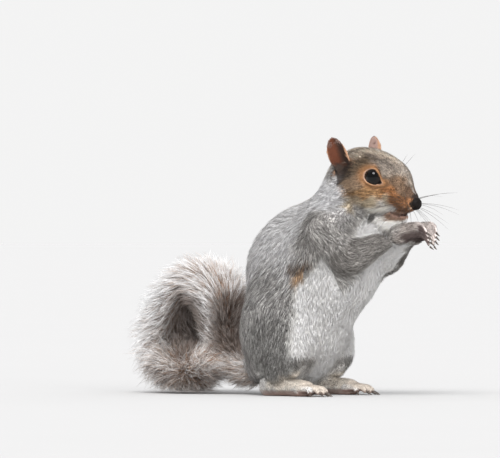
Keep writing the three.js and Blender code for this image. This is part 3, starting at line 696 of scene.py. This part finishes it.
def bumped(tree, shader, height, depth, strength):
    node = tree.nodes.new("ShaderNodeBump")
    node.inputs["Strength"].default_value = strength
    node.inputs["Distance"].default_value = depth
    feed(tree, node.inputs["Height"], height)
    tree.links.new(node.outputs["Normal"], shader.inputs["Normal"])


ROOT_EVEN, ROOT_BANDED = (0.96, 0.95, 0.94, 1), (0.30, 0.275, 0.26, 1)  # what the root does to the colour
TIP_PALE, TIP_DARK = (1.36, 1.35, 1.33, 1), (0.026, 0.021, 0.018, 1)
EVEN_STRANDS = (0.98, 0.98, 0.98, 1), (1.10, 1.10, 1.10, 1)  # how hairs differ where the coat isn't banded
UNEVEN_STRANDS = (0.50, 0.49, 0.48, 1), (1.38, 1.38, 1.38, 1)  # and where it is
WHITEST = (0.93, 0.92, 0.915, 1)


def banded_hair():
    """The colour along a hair: dull at its root, then as marked, with a pale or, on some, a black tip."""
    group = bpy.data.node_groups.new("banded_hair", "ShaderNodeTree")
    group.interface.new_socket("Marking", in_out="INPUT", socket_type="NodeSocketColor")
    for name in ("Banding", "Along", "Strand"):
        group.interface.new_socket(name, in_out="INPUT", socket_type="NodeSocketFloat")
    group.interface.new_socket("Colour", in_out="OUTPUT", socket_type="NodeSocketColor")
    given = group.nodes.new("NodeGroupInput").outputs
    marking, banding, along, strand = (given[name] for name in ("Marking", "Banding", "Along", "Strand"))
    root = blended(group, 1.0, marking, blended(group, banding, ROOT_EVEN, ROOT_BANDED), "MULTIPLY")
    dark = blended(group, 0.86, marking, TIP_DARK)
    pale = blended(group, 1.0, marking, TIP_PALE, "MULTIPLY")
    colour = blended(group, faded(group, along, 0.1, 0.45), root, marking)
    tip = blended(group, faded(group, strand, 0.66, 0.72), pale, dark)
    share = multiplied(group, multiplied(group, faded(group, along, 0.3, 0.55), banding), 0.8)
    colour = blended(group, share, colour, tip)
    even = blended(group, faded(group, strand, 0.0, 0.8), *EVEN_STRANDS)
    uneven = blended(group, faded(group, strand, 0.0, 0.8), *UNEVEN_STRANDS)
    colour = blended(group, 1.0, colour, blended(group, banding, even, uneven), "MULTIPLY")
    colour = blended(group, 1.0, colour, WHITEST, "DARKEN")
    group.links.new(colour, group.nodes.new("NodeGroupOutput").inputs["Colour"])
    return group


def haired(tree, shader, along, strand):
    node = tree.nodes.new("ShaderNodeGroup")
    node.node_tree = bpy.data.node_groups.get("banded_hair") or banded_hair()
    for name, value in (("Marking", stored(tree, "marking", "Color")), ("Banding", stored(tree, "banding")),
                        ("Along", along), ("Strand", strand)):
        feed(tree, node.inputs[name], value)
    tree.links.new(node.outputs["Colour"], shader.inputs["Base Color"])


skin_finish, tree, shader = finish("skin_fur", roughness=0.85, specular_ior_level=0.2)
haired(tree, shader, faded(tree, speckled(tree, 1500), 0.25, 0.8), speckled(tree, 2400))
bumped(tree, shader, speckled(tree, 2200), 0.0002, 0.6)
skin.data.materials.append(skin_finish)
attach(skin, "root")
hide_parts(*FLESH, *LIMBS, *both("ear", "forepaw", "hind_foot"), "tail_base", "tail_bend", "tail_end")

# ---------------------------------------------------------------- eyes
# Glass eyes, one ball each, very dark brown round a black pupil. They are set in the lids from behind and
# look out to the sides and a little ahead.
CORNEA = 0.035  # how much the middle of the ball stands proud, as a share of its radius
PUPIL, IRIS, EYE_EDGE = (0.001, 0.001, 0.001, 1), (0.006, 0.003, 0.002, 1), (0.004, 0.003, 0.003, 1)
eye_finish, tree, shader = finish("dark_glass_eye", roughness=0.04, specular_ior_level=0.32)
colour = blended(tree, faded(tree, stored(tree, "from_pupil"), 0.50, 0.62), PUPIL, IRIS)
colour = blended(tree, faded(tree, stored(tree, "from_pupil"), 0.80, 0.95), colour, EYE_EDGE)
tree.links.new(colour, shader.inputs["Base Color"])
for sign, name in ((1, "left"), (-1, "right")):
    bpy.ops.object.select_all(action="DESELECT")
    bpy.ops.mesh.primitive_uv_sphere_add(segments=64, ring_count=40, radius=1)
    eye = bpy.context.object
    eye.name = "eyeball_" + name
    out = unit(points_of(eye))
    proud = 1 + CORNEA * step(out[:, 2], 0.78, 0.93)
    gaze = Vector((GAZE[0], sign * GAZE[1], GAZE[2]))
    turn = np.array(gaze.to_track_quat("Z", "Y").to_matrix())
    put(eye, out @ turn.T * (proud * EYE_RADIUS * MM)[:, None] + from_body(EYE, (1, sign, 1)))
    give(eye, "from_pupil", "FLOAT", np.sqrt(1 - np.clip(out[:, 2], 0, 1) ** 2))
    eye.data.shade_smooth()
    eye.data.materials.append(eye_finish)
    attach(eye, "root")
    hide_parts("eye_" + name)

# ---------------------------------------------------------------- nose
# The bare pad of the nose, black and finely pebbled like leather, modelled on the end of the muzzle. It has
# a nostril on each side and a cleft down its front.
NOSE_GROWS, NOSE_CELL, NOSE_RAISED = 0.1 * MM, 0.22 * MM, 0.4 * MM
NOSTRIL_DEEP, GROOVE_DEEP = 1.0, 0.4
NOSE_DARK, NOSE_GREY = (0.004, 0.003, 0.003, 1), (0.015, 0.012, 0.011, 1)
nose = solid_copy("nose", NOSE_GROWS)
nose.name = "nose_pad"
modified(nose, "REMESH", mode="VOXEL", voxel_size=NOSE_CELL)
nose_points = evened(nose, points_of(nose), 10, 0.5)
put(nose, nose_points)
body = on_body(nose_points)
nose_points[:, 2] += NOSE_RAISED * step(body[:, 2], 132, 138)
rise = -NOSTRIL_DEEP * ridge(from_line(body, NOSTRIL), 0.5)
rise -= GROOVE_DEEP * ridge(body[:, 1], 0.35) * (body[:, 2] < 132.5)
put(nose, nose_points + normals_of(nose) * rise[:, None] * MM)
nose.data.shade_smooth()
nose_finish, tree, shader = finish("nose_leather", roughness=0.5, specular_ior_level=0.12)
pebbles = tree.nodes.new("ShaderNodeTexVoronoi")
feed(tree, pebbles.inputs["Scale"], 2200)
feed(tree, pebbles.inputs["Vector"], placed(tree))
bumped(tree, shader, pebbles.outputs["Distance"], 0.0001, 0.7)
colour = blended(tree, speckled(tree, 900), NOSE_DARK, NOSE_GREY)
tree.links.new(colour, shader.inputs["Base Color"])
nose.data.materials.append(nose_finish)
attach(nose, "root")
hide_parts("nose")

# ---------------------------------------------------------------- claws
# Curved claws of dark horn, clouded paler, four on each forepaw and five on each hind foot. They are set in
# the ends of the fingers and toes.
CLAW_GROWS = 0.04 * MM
HORN_DARK, HORN_PALE = (0.028, 0.020, 0.016, 1), (0.11, 0.085, 0.068, 1)
claw_finish, tree, shader = finish("claw_horn", roughness=0.32, coat_weight=0.2)
colour = blended(tree, speckled(tree, 700), HORN_DARK, HORN_PALE)
tree.links.new(colour, shader.inputs["Base Color"])
bumped(tree, shader, speckled(tree, 1800), 0.00005, 0.5)
for paw in ("forepaw_left", "forepaw_right", "foot_left", "foot_right"):
    own = sorted(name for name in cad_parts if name.startswith(paw + "_claw"))
    claws = joined([solid_copy(name, CLAW_GROWS) for name in own], "claws_" + paw)
    modified(claws, "SUBSURF", levels=2, render_levels=2)
    claws.data.shade_smooth()
    claws.data.materials.append(claw_finish)
    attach(claws, "root")
    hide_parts(*own)

# ---------------------------------------------------------------- whiskers
# Long stiff dark hairs in rows on the sides of the muzzle, with a few over the eyes and on the cheeks. Each
# is let into the skin, droops a little and thins to a fine point.
WHISKER, WHISKER_ROOT, WHISKER_SIDES = 0.12 * MM, 0.8, 6
TAPER = (1, 0.9, 0.7, 0.45, 0.12)
WHISKER_DARK, WHISKER_PALE = (0.012, 0.010, 0.009, 1), (0.10, 0.085, 0.075, 1)
whisker_finish, tree, shader = finish("whisker_hair", roughness=0.4)
colour = blended(tree, speckled(tree, 60), WHISKER_DARK, WHISKER_PALE)
tree.links.new(colour, shader.inputs["Base Color"])
for sign, name in ((1, "left"), (-1, "right")):
    rods = []
    for index, (root, way, length) in enumerate(WHISKERS):
        way = unit(np.array(way))
        start = np.array(root) - WHISKER_ROOT * way
        sag = np.array((-0.10 * length, 0, -0.16 * length + 0.02 * length * math.sin(index * 2.4)))
        places = [start + t * length * way + t * t * sag for t in (0, 0.25, 0.5, 0.75, 1)]
        places = [from_body(p, (1, sign, 1)) for p in places]
        rods.append(tapered("whisker", places, [WHISKER * share for share in TAPER], WHISKER_SIDES))
    whiskers = joined(rods, "whiskers_" + name)
    whiskers.data.shade_smooth()
    whiskers.data.materials.clear()
    whiskers.data.materials.append(whisker_finish)
    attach(whiskers, "root")

# ---------------------------------------------------------------- coat
# The hair of the coat, as overlapping tufts rooted in the skin, which lie along the body and whose points
# make its outline. They are finest on the face and feet, and longer and looser on the back and flanks.
ROOT_SUNK = 0.35 * MM
PATCH = 0.003  # each tuft's share of the unwrap of the skin
BARE_FROM = 107.5  # past this the fingers are bare
LOCKS_ON_HEAD, LOCKS_ELSEWHERE = 1 / 10, 1 / 3  # the share of the tufts that draw their neighbours to them
WANDER, STRAY = 0.16, 0.10  # how far tufts turn aside, all together and each for itself
TUFT_FLAT = 0.32  # how thick a tuft is for its width
FLOOR_GAP = 0.3 * MM


def scattered(piece, crowding, seed):
    """Roots over a piece's faces, as many to the square millimetre as crowding says.

    Returns their places, the normals there, and their places on the unwrap."""
    mesh = piece.data
    mesh.calc_loop_triangles()
    corners = np.empty(3 * len(mesh.loop_triangles), np.int32)
    mesh.loop_triangles.foreach_get("vertices", corners)
    loops = np.empty_like(corners)
    mesh.loop_triangles.foreach_get("loops", loops)
    unwrap = np.empty(2 * len(mesh.loops), np.float32)
    mesh.uv_layers["OFBake"].data.foreach_get("uv", unwrap)
    co = points_of(piece)[corners.reshape(-1, 3)]
    area = np.linalg.norm(np.cross(co[:, 1] - co[:, 0], co[:, 2] - co[:, 0]), axis=1) / 2
    upto = np.cumsum(area / MM**2 * crowding(co.mean(axis=1)))
    rng = np.random.default_rng(seed)
    many = int(upto[-1])
    face = np.searchsorted(upto, (np.arange(many) + rng.random(many)) * upto[-1] / many)
    face = np.minimum(face, len(co) - 1)
    a, b = np.sqrt(rng.random(many)), rng.random(many)
    share = np.column_stack([1 - a, a * (1 - b), a * b])[:, :, None]
    normal = normals_of(piece)[corners.reshape(-1, 3)]
    unwrap = unwrap.reshape(-1, 2)[loops].reshape(-1, 3, 2)
    place, normal, unwrap = ((share * each[face]).sum(axis=1) for each in (co, normal, unwrap))
    return place, unit(normal), unwrap


def tufted(name, line, width, flatness, spread, profile, unwrap, colour, banding, strand):
    """One mesh of closed three-sided tufts, each along its own line of points from root to tip."""
    many, stations = line.shape[:2]
    way = unit(np.diff(line, axis=1))
    thin = np.cross(way, spread[:, None])
    rings = []
    for turn in (math.pi / 2, math.pi * 7 / 6, math.pi * 11 / 6):
        out = math.cos(turn) * spread[:, None] + math.sin(turn) * flatness * thin
        rings.append(line[:, :-1] + out * (width[:, None, None] / 2) * np.reshape(profile, (1, -1, 1)))
    rings = np.stack(rings, axis=2).reshape(many, -1, 3)
    co = np.concatenate([rings, line[:, -1:]], axis=1)
    tip = 3 * (stations - 1)
    faces, flat = [(0, 2, 1)], [((0.0, -0.6), (0.6, -0.6), (0.3, -0.5))]
    for ring in range(stations - 1):
        low, high = ring / (stations - 1), (ring + 1) / (stations - 1)
        for k in range(3):
            a, b = 3 * ring + k, 3 * ring + (k + 1) % 3
            left, right = k / 3, (k + 1) / 3
            if ring == stations - 2:
                faces.append((a, b, tip))
                flat.append(((left, low), (right, low), ((left + right) / 2, high)))
            else:
                faces += [(a, b, b + 3), (a, b + 3, a + 3)]
                flat.append(((left, low), (right, low), (right, high)))
                flat.append(((left, low), (right, high), (left, high)))
    faces, flat = np.array(faces), np.array(flat) - 0.5
    per = tip + 1
    mesh = bpy.data.meshes.new(name)
    mesh.vertices.add(many * per)
    mesh.vertices.foreach_set("co", co.astype(np.float32).ravel())
    corners = (faces[None] + per * np.arange(many)[:, None, None]).ravel()
    mesh.loops.add(len(corners))
    mesh.loops.foreach_set("vertex_index", corners.astype(np.int32))
    mesh.polygons.add(len(corners) // 3)
    mesh.polygons.foreach_set("loop_start", np.arange(0, len(corners), 3, dtype=np.int32))
    mesh.update(calc_edges=True)
    mesh.shade_smooth()
    mesh.uv_layers.new(name="OFBake")
    patches = unwrap[:, None, None, :] + flat[None] * PATCH
    mesh.uv_layers["OFBake"].data.foreach_set("uv", patches.astype(np.float32).ravel())
    piece = bpy.data.objects.new(name, mesh)
    bpy.context.scene.collection.objects.link(piece)
    steps = np.append(np.repeat(np.arange(stations - 1), 3), stations - 1) / (stations - 1)
    give(piece, "along", "FLOAT", np.tile(steps, many))
    give(piece, "strand", "FLOAT", np.repeat(strand, per))
    give(piece, "banding", "FLOAT", np.repeat(banding, per))
    colour = np.broadcast_to(colour, (many, stations, 3))
    colour = np.concatenate([np.repeat(colour[:, :-1], 3, axis=1), colour[:, -1:]], axis=1).reshape(-1, 3)
    give(piece, "marking", "FLOAT_COLOR", with_alpha(colour))
    return piece


def nearest_of(places, seeds):
    """For each place, which of the seeds is nearest."""
    tree = KDTree(len(seeds))
    for index, seed in enumerate(seeds):
        tree.insert(seed, index)
    tree.balance()
    return np.array([tree.find(place)[1] for place in places])


def length_at(depth):
    """How long a tuft is where the coat is so deep, in millimetres."""
    return 1.25 + 2.05 * depth


def width_at(depth):
    """How wide a tuft is where the coat is so deep, in millimetres."""
    return 0.17 + 0.047 * depth


def crowding(co):
    """How many tufts grow to the square millimetre: none where the skin is bare or the tail's hair grows."""
    _, depth, part = lie_of(co)
    depth = depth / MM
    p = on_body(co)
    bare = on(part, "tail") | ((lid_of(p)[0] < 1.2) & (np.abs(co[:, 1]) > 0.008))
    bare |= (mouth_of(p) < 0.7) | (on(part, "hand") & (between_fingers(p)[1] > BARE_FROM))
    bare |= (np.linalg.norm(p - NOSE_TIP + (3.4, 0, 0), axis=1) < 5.2) | (from_line(p, NOSTRIL) < 1.1)
    layers = np.select([on(part, "foot"), on(part, "head")], [2.0, 3.3], 2.5)
    return np.where(bare, 0, (layers + 0.52 * depth) / (length_at(depth) * width_at(depth)))


# each tuft follows the lie of the coat, a little astray
rng = np.random.default_rng(5)
roots, out, unwrap = scattered(skin, crowding, 3)
way, depth, part = lie_of(roots)
depth_mm = depth / MM
colour, banding = marking_of(roots, out, part)
wander = np.stack([drift(roots, 14, seed) for seed in (21, 22, 23)], axis=1)
way = way + WANDER * wander + rng.normal(scale=STRAY, size=way.shape)
way = unit(way - (way * out).sum(axis=1, keepdims=True) * out)

# round the eyes the tufts are shorter and keep off the eyeballs
body = on_body(roots)
ring = lid_of(body)[0]
inward = unit((EYE - body) * mirror_of(roots))
way -= inward * (np.clip((way * inward).sum(axis=1), 0, 1) * step(ring, 2.8, 1.7))[:, None]
way = unit(way - (way * out).sum(axis=1, keepdims=True) * out)
long = length_at(depth_mm) * rng.uniform(0.75, 1.2, len(roots)) * MM * (0.5 + 0.5 * step(ring, 1.2, 2.6))
rise = np.minimum(depth * rng.uniform(0.62, 1.04, len(roots)), long * 0.8)
run = np.sqrt(long**2 - rise**2)

# the tips stand off the skin beyond the roots, and are drawn together into locks
surface = surface_of(skin, skin_points)
tips = []
for place, high in zip(roots + way * run[:, None], rise):
    found, normal, _, _ = surface.find_nearest(place)
    tips.append(found + normal * high)
tips = np.array(tips)
seeds = np.flatnonzero(rng.random(len(roots)) < np.where(on(part, "head"), LOCKS_ON_HEAD, LOCKS_ELSEWHERE))
clump = seeds[nearest_of(roots, roots[seeds])]
close = np.linalg.norm(roots - roots[clump], axis=1) < 1.5 * MM + depth
pull = np.clip(0.1 + 0.08 * depth_mm, 0, 0.42) * close
tips = tips + pull[:, None] * (roots[clump] * 0.35 + roots * 0.65 + tips[clump] - roots[clump] - tips)
bends = roots + 0.42 * (tips - roots) + out * (rise * 0.34)[:, None]
base = roots - out * ROOT_SUNK
for line in (base, bends, tips):
    line[:, 2] = np.maximum(line[:, 2], FLOOR_GAP)
spread = unit(np.cross(tips - roots, out))
wide = width_at(depth_mm) * rng.uniform(0.8, 1.25, len(roots)) * MM
strand = (rng.random(len(roots))[clump] + 0.55 * rng.random(len(roots))) % 1

coat_finish, tree, shader = finish("coat_hair", roughness=0.7, specular_ior_level=0.3)
haired(tree, shader, stored(tree, "along"), stored(tree, "strand"))
COATS = {  # the part of the body that each piece covers, how many lengths its tufts have, and its slot
    "coat_face": ("head", 1, "face_fur"), "coat_neck": ("neck", 2, "grey_fur"),
    "coat_back": ("back", 2, "grey_fur"), "coat_rump": ("rump", 2, "grey_fur"),
    "coat_front": ("front", 2, "grey_fur"), "coat_arms": ("arm", 2, "grey_fur"),
    "coat_hands": ("hand", 2, "paw_fur"), "coat_legs": ("leg", 2, "grey_fur"),
    "coat_feet": ("foot", 1, "paw_fur"), "coat_ears": ("ear", 1, "ear_fur"),
}
for name, (covered, lengths, slot) in COATS.items():
    own = on(part, covered)
    if lengths == 1:
        line, profile = np.stack([base[own], tips[own]], axis=1), [1]
    else:
        line, profile = np.stack([base[own], bends[own], tips[own]], axis=1), [0.7, 1]
    coat = tufted(name, line, wide[own], TUFT_FLAT, spread[own], profile, unwrap[own],
                  colour[own][:, None], banding[own], strand[own])
    coat.data.materials.append(coat_finish)
    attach(coat, "root")

# ---------------------------------------------------------------- tail
# Hair thirty millimetres long, which grows outward from the skin of the tail, mostly to left and right, and
# bends towards its tip. Each is brown at the root, then black, then silver, and they hang together in wisps.
TAIL = [  # where the middle of the tail runs, how far its hair reaches in the curl, and its share of width
    ((-26, 0, 17), 10, 0.35), ((-44, 0, 17.5), 14, 0.5), ((-57, 0, 26), 16.5, 0.7),
    ((-63, 0, 43), 15.5, 0.85), ((-65, 0, 61), 17, 0.95), ((-72, 0, 75), 20, 1),
    ((-87, 0, 80), 19, 1), ((-100, 0, 70), 19, 1),
    ((-109, 0, 54), 21, 1), ((-113, -1, 37), 22.5, 1), ((-106, -3, 21), 21, 0.95), ((-92, -8, 16), 19, 0.85),
    ((-78, -12, 19), 17, 0.75), ((-67, -14, 23), 12, 0.5),
]
TAIL_HALF_WIDTH = 31
BRUSH = 14  # how far the last hairs reach past the end of the bone,
PAST_END = 0.12  # and how far their t goes past 1 for it


def tail_at(t):
    """The place, way, half height, half width and outward side of the tail at each share of its length."""
    knots = np.array([(*place, reach, wide * TAIL_HALF_WIDTH) for place, reach, wide in TAIL])
    knots = np.vstack([2 * knots[0] - knots[1], knots, 2 * knots[-1] - knots[-2]])

    def at(t):
        u = np.clip(t, 0, 1) * (len(TAIL) - 1)
        first = np.minimum(u.astype(int), len(TAIL) - 2)
        f = (u - first)[:, None]
        a, b, c, d = (knots[first + k] for k in range(4))
        square, cube = 2 * a - 5 * b + 4 * c - d, 3 * b - a - 3 * c + d
        return 0.5 * (2 * b + (c - a) * f + square * f**2 + cube * f**3)

    here = at(t)
    near = np.clip(t, 0.004, 0.996)
    way = unit(at(near + 0.004)[:, :3] - at(near - 0.004)[:, :3])
    return here[:, :3], way, here[:, 3:4], here[:, 4:5], unit(np.cross((0, 1, 0), way))


def tail_line(t, turn, reach, sweep):
    """Root, bend and tip of hairs that leave the tail at t, turned round it, and sweep on along it."""
    def fringe(at, share):
        place, way, high, wide, out = tail_at(at)
        across = np.cross(way, out)
        across *= np.sign(across[:, 1:2])
        past = np.clip(at - 1, 0, None)[:, None] / PAST_END
        share = share[:, None] * np.sqrt(np.clip(1 - past**2, 0, 1))
        off = high * np.cos(turn)[:, None] * out + wide * np.sin(turn)[:, None] * across
        return place + past * BRUSH * way + share * off

    root = fringe(t, np.full(len(t), 0.1))
    knee = fringe(t + 0.35 * sweep, 0.8 * reach)
    tip = fringe(t + sweep, reach)
    return root, knee, tip


def bone_patch(t, turn):
    """Where a hair lies on the unwrap: along the tail by t, and across by its turn."""
    return np.column_stack([0.02 + 0.96 * t, 0.02 + 0.96 * turn / (2 * math.pi)])


SILVER, WHITE, WHITEST_TIP = (0.86, 0.855, 0.855), (0.86, 0.86, 0.86), (0.90, 0.90, 0.905)
SOOT, UMBER, DOWN, RUST = (0.12, 0.085, 0.066), (0.40, 0.295, 0.235), (0.40, 0.27, 0.20), (0.56, 0.33, 0.17)
SHADE_REMAINDER = np.array((0.20, 0.15, 0.12))  # what is left of the colours where the painted shade is darkest
HOLLOW = [(-80, 0, 56), (-84, 0, 42)]  # inside the curl, where the painted shade is darkest
BEHIND = [(-46, 0, 66), (-49, 0, 42)]  # and close behind the back
STATIONS = np.array([0, 1 / 3, 2 / 3, 1])
HAIR_FLAT = 0.6
TAIL_PIECES = (("base", 0, 0.34), ("bend", 0.34, 0.67), ("end", 0.67, 1.01))
tail_finish, tree, shader = finish("tail_hair", roughness=0.6, specular_ior_level=0.35)
haired(tree, shader, stored(tree, "along"), stored(tree, "strand"))


def tail_coat(name, many, seed, reach, sweep, wisps, pull, width, low, band, high):
    """Three pieces of tail hair of one kind, from the root of the tail to its end.

    Reach, sweep and pull are ranges. Pull is how far each hair is drawn to the nearest of so many wisps.
    Low, band and high are its colours from root to tip."""
    rng = np.random.default_rng(seed)
    t = 0.02 + 0.965 * (np.arange(many) + rng.random(many)) / many
    turn = rng.random(many) * 2 * math.pi
    share = reach[1] - (reach[1] - reach[0]) * rng.random(many) ** 1.5
    root, knee, tip = tail_line(t, turn, share, rng.uniform(*sweep, many) + 0.10 * step(t, 0.84, 0.98))
    seeds = np.flatnonzero(rng.random(many) < wisps / many)
    wisp = seeds[nearest_of(tip, tip[seeds])]
    drawn = rng.uniform(*pull, many)[:, None]
    loose = 0.8 + 3.0 * step(t, 0.6, 0.85)[:, None]
    tip = tip + drawn * (tip[wisp] - tip) + loose * rng.normal(size=tip.shape)
    knee = knee + 0.3 * drawn * (knee[wisp] - knee) + 1.3 * rng.normal(size=knee.shape)
    tip[:, 2] = np.maximum(tip[:, 2], 0.6)
    knee[:, 2] = np.maximum(knee[:, 2], 1.0)
    u = STATIONS[None, :, None]
    line = (1 - u) ** 2 * root[:, None] + 2 * u * (1 - u) * knee[:, None] + u**2 * tip[:, None]
    line = from_body(line)

    # the colours of each hair: rustier near the root and the end of the tail, with painted shade inside the
    # curl, close behind the back and low near the floor; on the inner side of the curl the darkening is
    # partly the tail's browner underside and partly painted shade
    warm = 1.1 * step(t, 0.6, 0.82) + 0.6 * step(np.abs(t - 0.40), 0.16, 0.04) + 0.7 * step(t, 0.26, 0.12)
    warm = np.clip(warm[:, None] * rng.uniform(-0.4, 1.3, (many, 1)), 0, 1)
    tips_rusty = 0.12 + 0.4 * step(t, 0.24, 0.12)[:, None]
    low, band, high = (np.array(hue) + warm * rusty * (np.array(RUST) - hue)
                       for hue, rusty in ((low, 0.9), (band, 0.7), (high, tips_rusty)))
    pale = (rng.random(len(wisp)) < 0.75)[wisp]
    high = np.where(pale[:, None], high, 0.45 * high + 0.55 * low)
    flat = tip * (1, 0, 1)
    painted_shade = 0.85 * np.maximum(step(from_line(flat, HOLLOW), 22, 10), step(from_line(flat, BEHIND), 17, 8))
    painted_shade = np.maximum(painted_shade, 0.35 * step(np.cos(turn), 0.1, -0.8) * step(t, 0.9, 0.7))
    painted_shade = np.maximum(painted_shade, 0.55 * step(tip[:, 2], 26, 10) * step(t, 0.5, 0.7))[:, None]
    shade = np.stack([low, 0.5 * low + 0.5 * band, 0.2 * band + 0.8 * high, high], axis=1)
    shade = shade * (1 - painted_shade[:, None] * (1 - SHADE_REMAINDER))
    spread = unit(np.cross(tip - root, (tip - root)[:, [1, 2, 0]]))
    wide = rng.uniform(0.75, 1.25, many) * width * MM
    strand = 0.7 * rng.random(many)
    for part, first, last in TAIL_PIECES:
        own = (t >= first) & (t < last)
        hair = tufted(f"tail_{name}_{part}", line[own], wide[own], HAIR_FLAT, spread[own], [0.7, 1, 0.7],
                      bone_patch(t, turn)[own], shade[own], np.zeros(own.sum()), strand[own])
        hair.data.materials.append(tail_finish)
        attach(hair, "root")


tail_coat("down", 9000, 18, (0.50, 0.78), (0.02, 0.06), 900, (0.2, 0.5), 0.75, UMBER, UMBER, DOWN)
tail_coat("hair", 21000, 17, (0.74, 1.04), (0.01, 0.06), 3000, (0.45, 0.9), 0.30, UMBER, SOOT, SILVER)
tail_coat("guard", 8200, 16, (0.95, 1.2), (-0.01, 0.07), 2600, (0.5, 0.95), 0.48, UMBER, WHITE, WHITEST_TIP)

# ---------------------------------------------------------------- floor, light and camera
# A plain pale floor under a soft, overcast light, with a low fill from the squirrel's head. The camera is at
# a distance with a long lens, on the squirrel's right and a little ahead of it.
bpy.ops.object.select_all(action="DESELECT")
bpy.ops.mesh.primitive_circle_add(vertices=64, radius=40, fill_type="NGON")
floor = bpy.context.object
floor.name = "floor"

CAMERA_AIM = Vector((-0.01852, -0.02008, 0.1162))
CAMERA_TURN = math.radians(35)
CAMERA_DISTANCE = 4.0
CAMERA_SEES = 0.35  # how wide the picture is at the squirrel
bpy.ops.object.camera_add()
camera = bpy.context.object
camera.name = "camera"
camera.data.sensor_width = 36
camera.data.lens = 36 * CAMERA_DISTANCE / CAMERA_SEES
camera.data.clip_end = 100
back = Vector((math.sin(CAMERA_TURN), -math.cos(CAMERA_TURN), 0))
camera.location = CAMERA_AIM + CAMERA_DISTANCE * back
camera.rotation_euler = back.to_track_quat("Z", "Y").to_euler()
bpy.context.scene.camera = camera

SKY, SKY_STRENGTH = (0.97, 0.98, 1.0, 1), 1.0
SUN_STRENGTH = 2.4
BACKGROUND = (0.901, 0.900, 0.8995, 1)  # what the camera sees beyond the floor, as bright as the floor
FLOOR_DARK, FLOOR_PALE = (0.525, 0.52, 0.515, 1), (0.535, 0.53, 0.525, 1)
world = bpy.data.worlds.new("sky")
bpy.context.scene.world = world
world.use_nodes = True
tree = world.node_tree
lit = tree.nodes["Background"]
lit.inputs["Color"].default_value = SKY
ray = tree.nodes.new("ShaderNodeLightPath")
dim = tree.nodes.new("ShaderNodeMath")  # a darker sky in the gloss of eyes and nose
dim.operation = "MULTIPLY_ADD"
for place, value in enumerate((ray.outputs["Is Glossy Ray"], -0.6 * SKY_STRENGTH, SKY_STRENGTH)):
    feed(tree, dim.inputs[place], value)
tree.links.new(dim.outputs[0], lit.inputs["Strength"])
seen = tree.nodes.new("ShaderNodeBackground")
seen.inputs["Color"].default_value = BACKGROUND
either = tree.nodes.new("ShaderNodeMixShader")
for place, value in enumerate((ray.outputs["Is Camera Ray"], lit.outputs[0], seen.outputs[0])):
    feed(tree, either.inputs[place], value)
tree.links.new(either.outputs[0], tree.nodes["World Output"].inputs["Surface"])


def sunlight(name, spread, toward):
    """A light from this side, as soft as a disc so many degrees across."""
    bpy.ops.object.light_add(type="SUN")
    light = bpy.context.object
    light.name = name
    light.data.energy = SUN_STRENGTH
    light.data.angle = math.radians(spread)
    light.rotation_euler = Vector(toward).to_track_quat("Z", "Y").to_euler()
    return light


sunlight("soft_sun", 30, (0.25, -0.62, 0.85))
fill = sunlight("low_fill", 60, (0.80, -0.60, 0.10))
fill.visible_glossy = False

floor_finish, tree, shader = finish("pale_floor", roughness=0.9, specular_ior_level=0.0)
colour = blended(tree, speckled(tree, 6, 4.0), FLOOR_DARK, FLOOR_PALE)
tree.links.new(colour, shader.inputs["Base Color"])
floor.data.materials.append(floor_finish)

bpy.context.scene.view_settings.view_transform = "Standard"
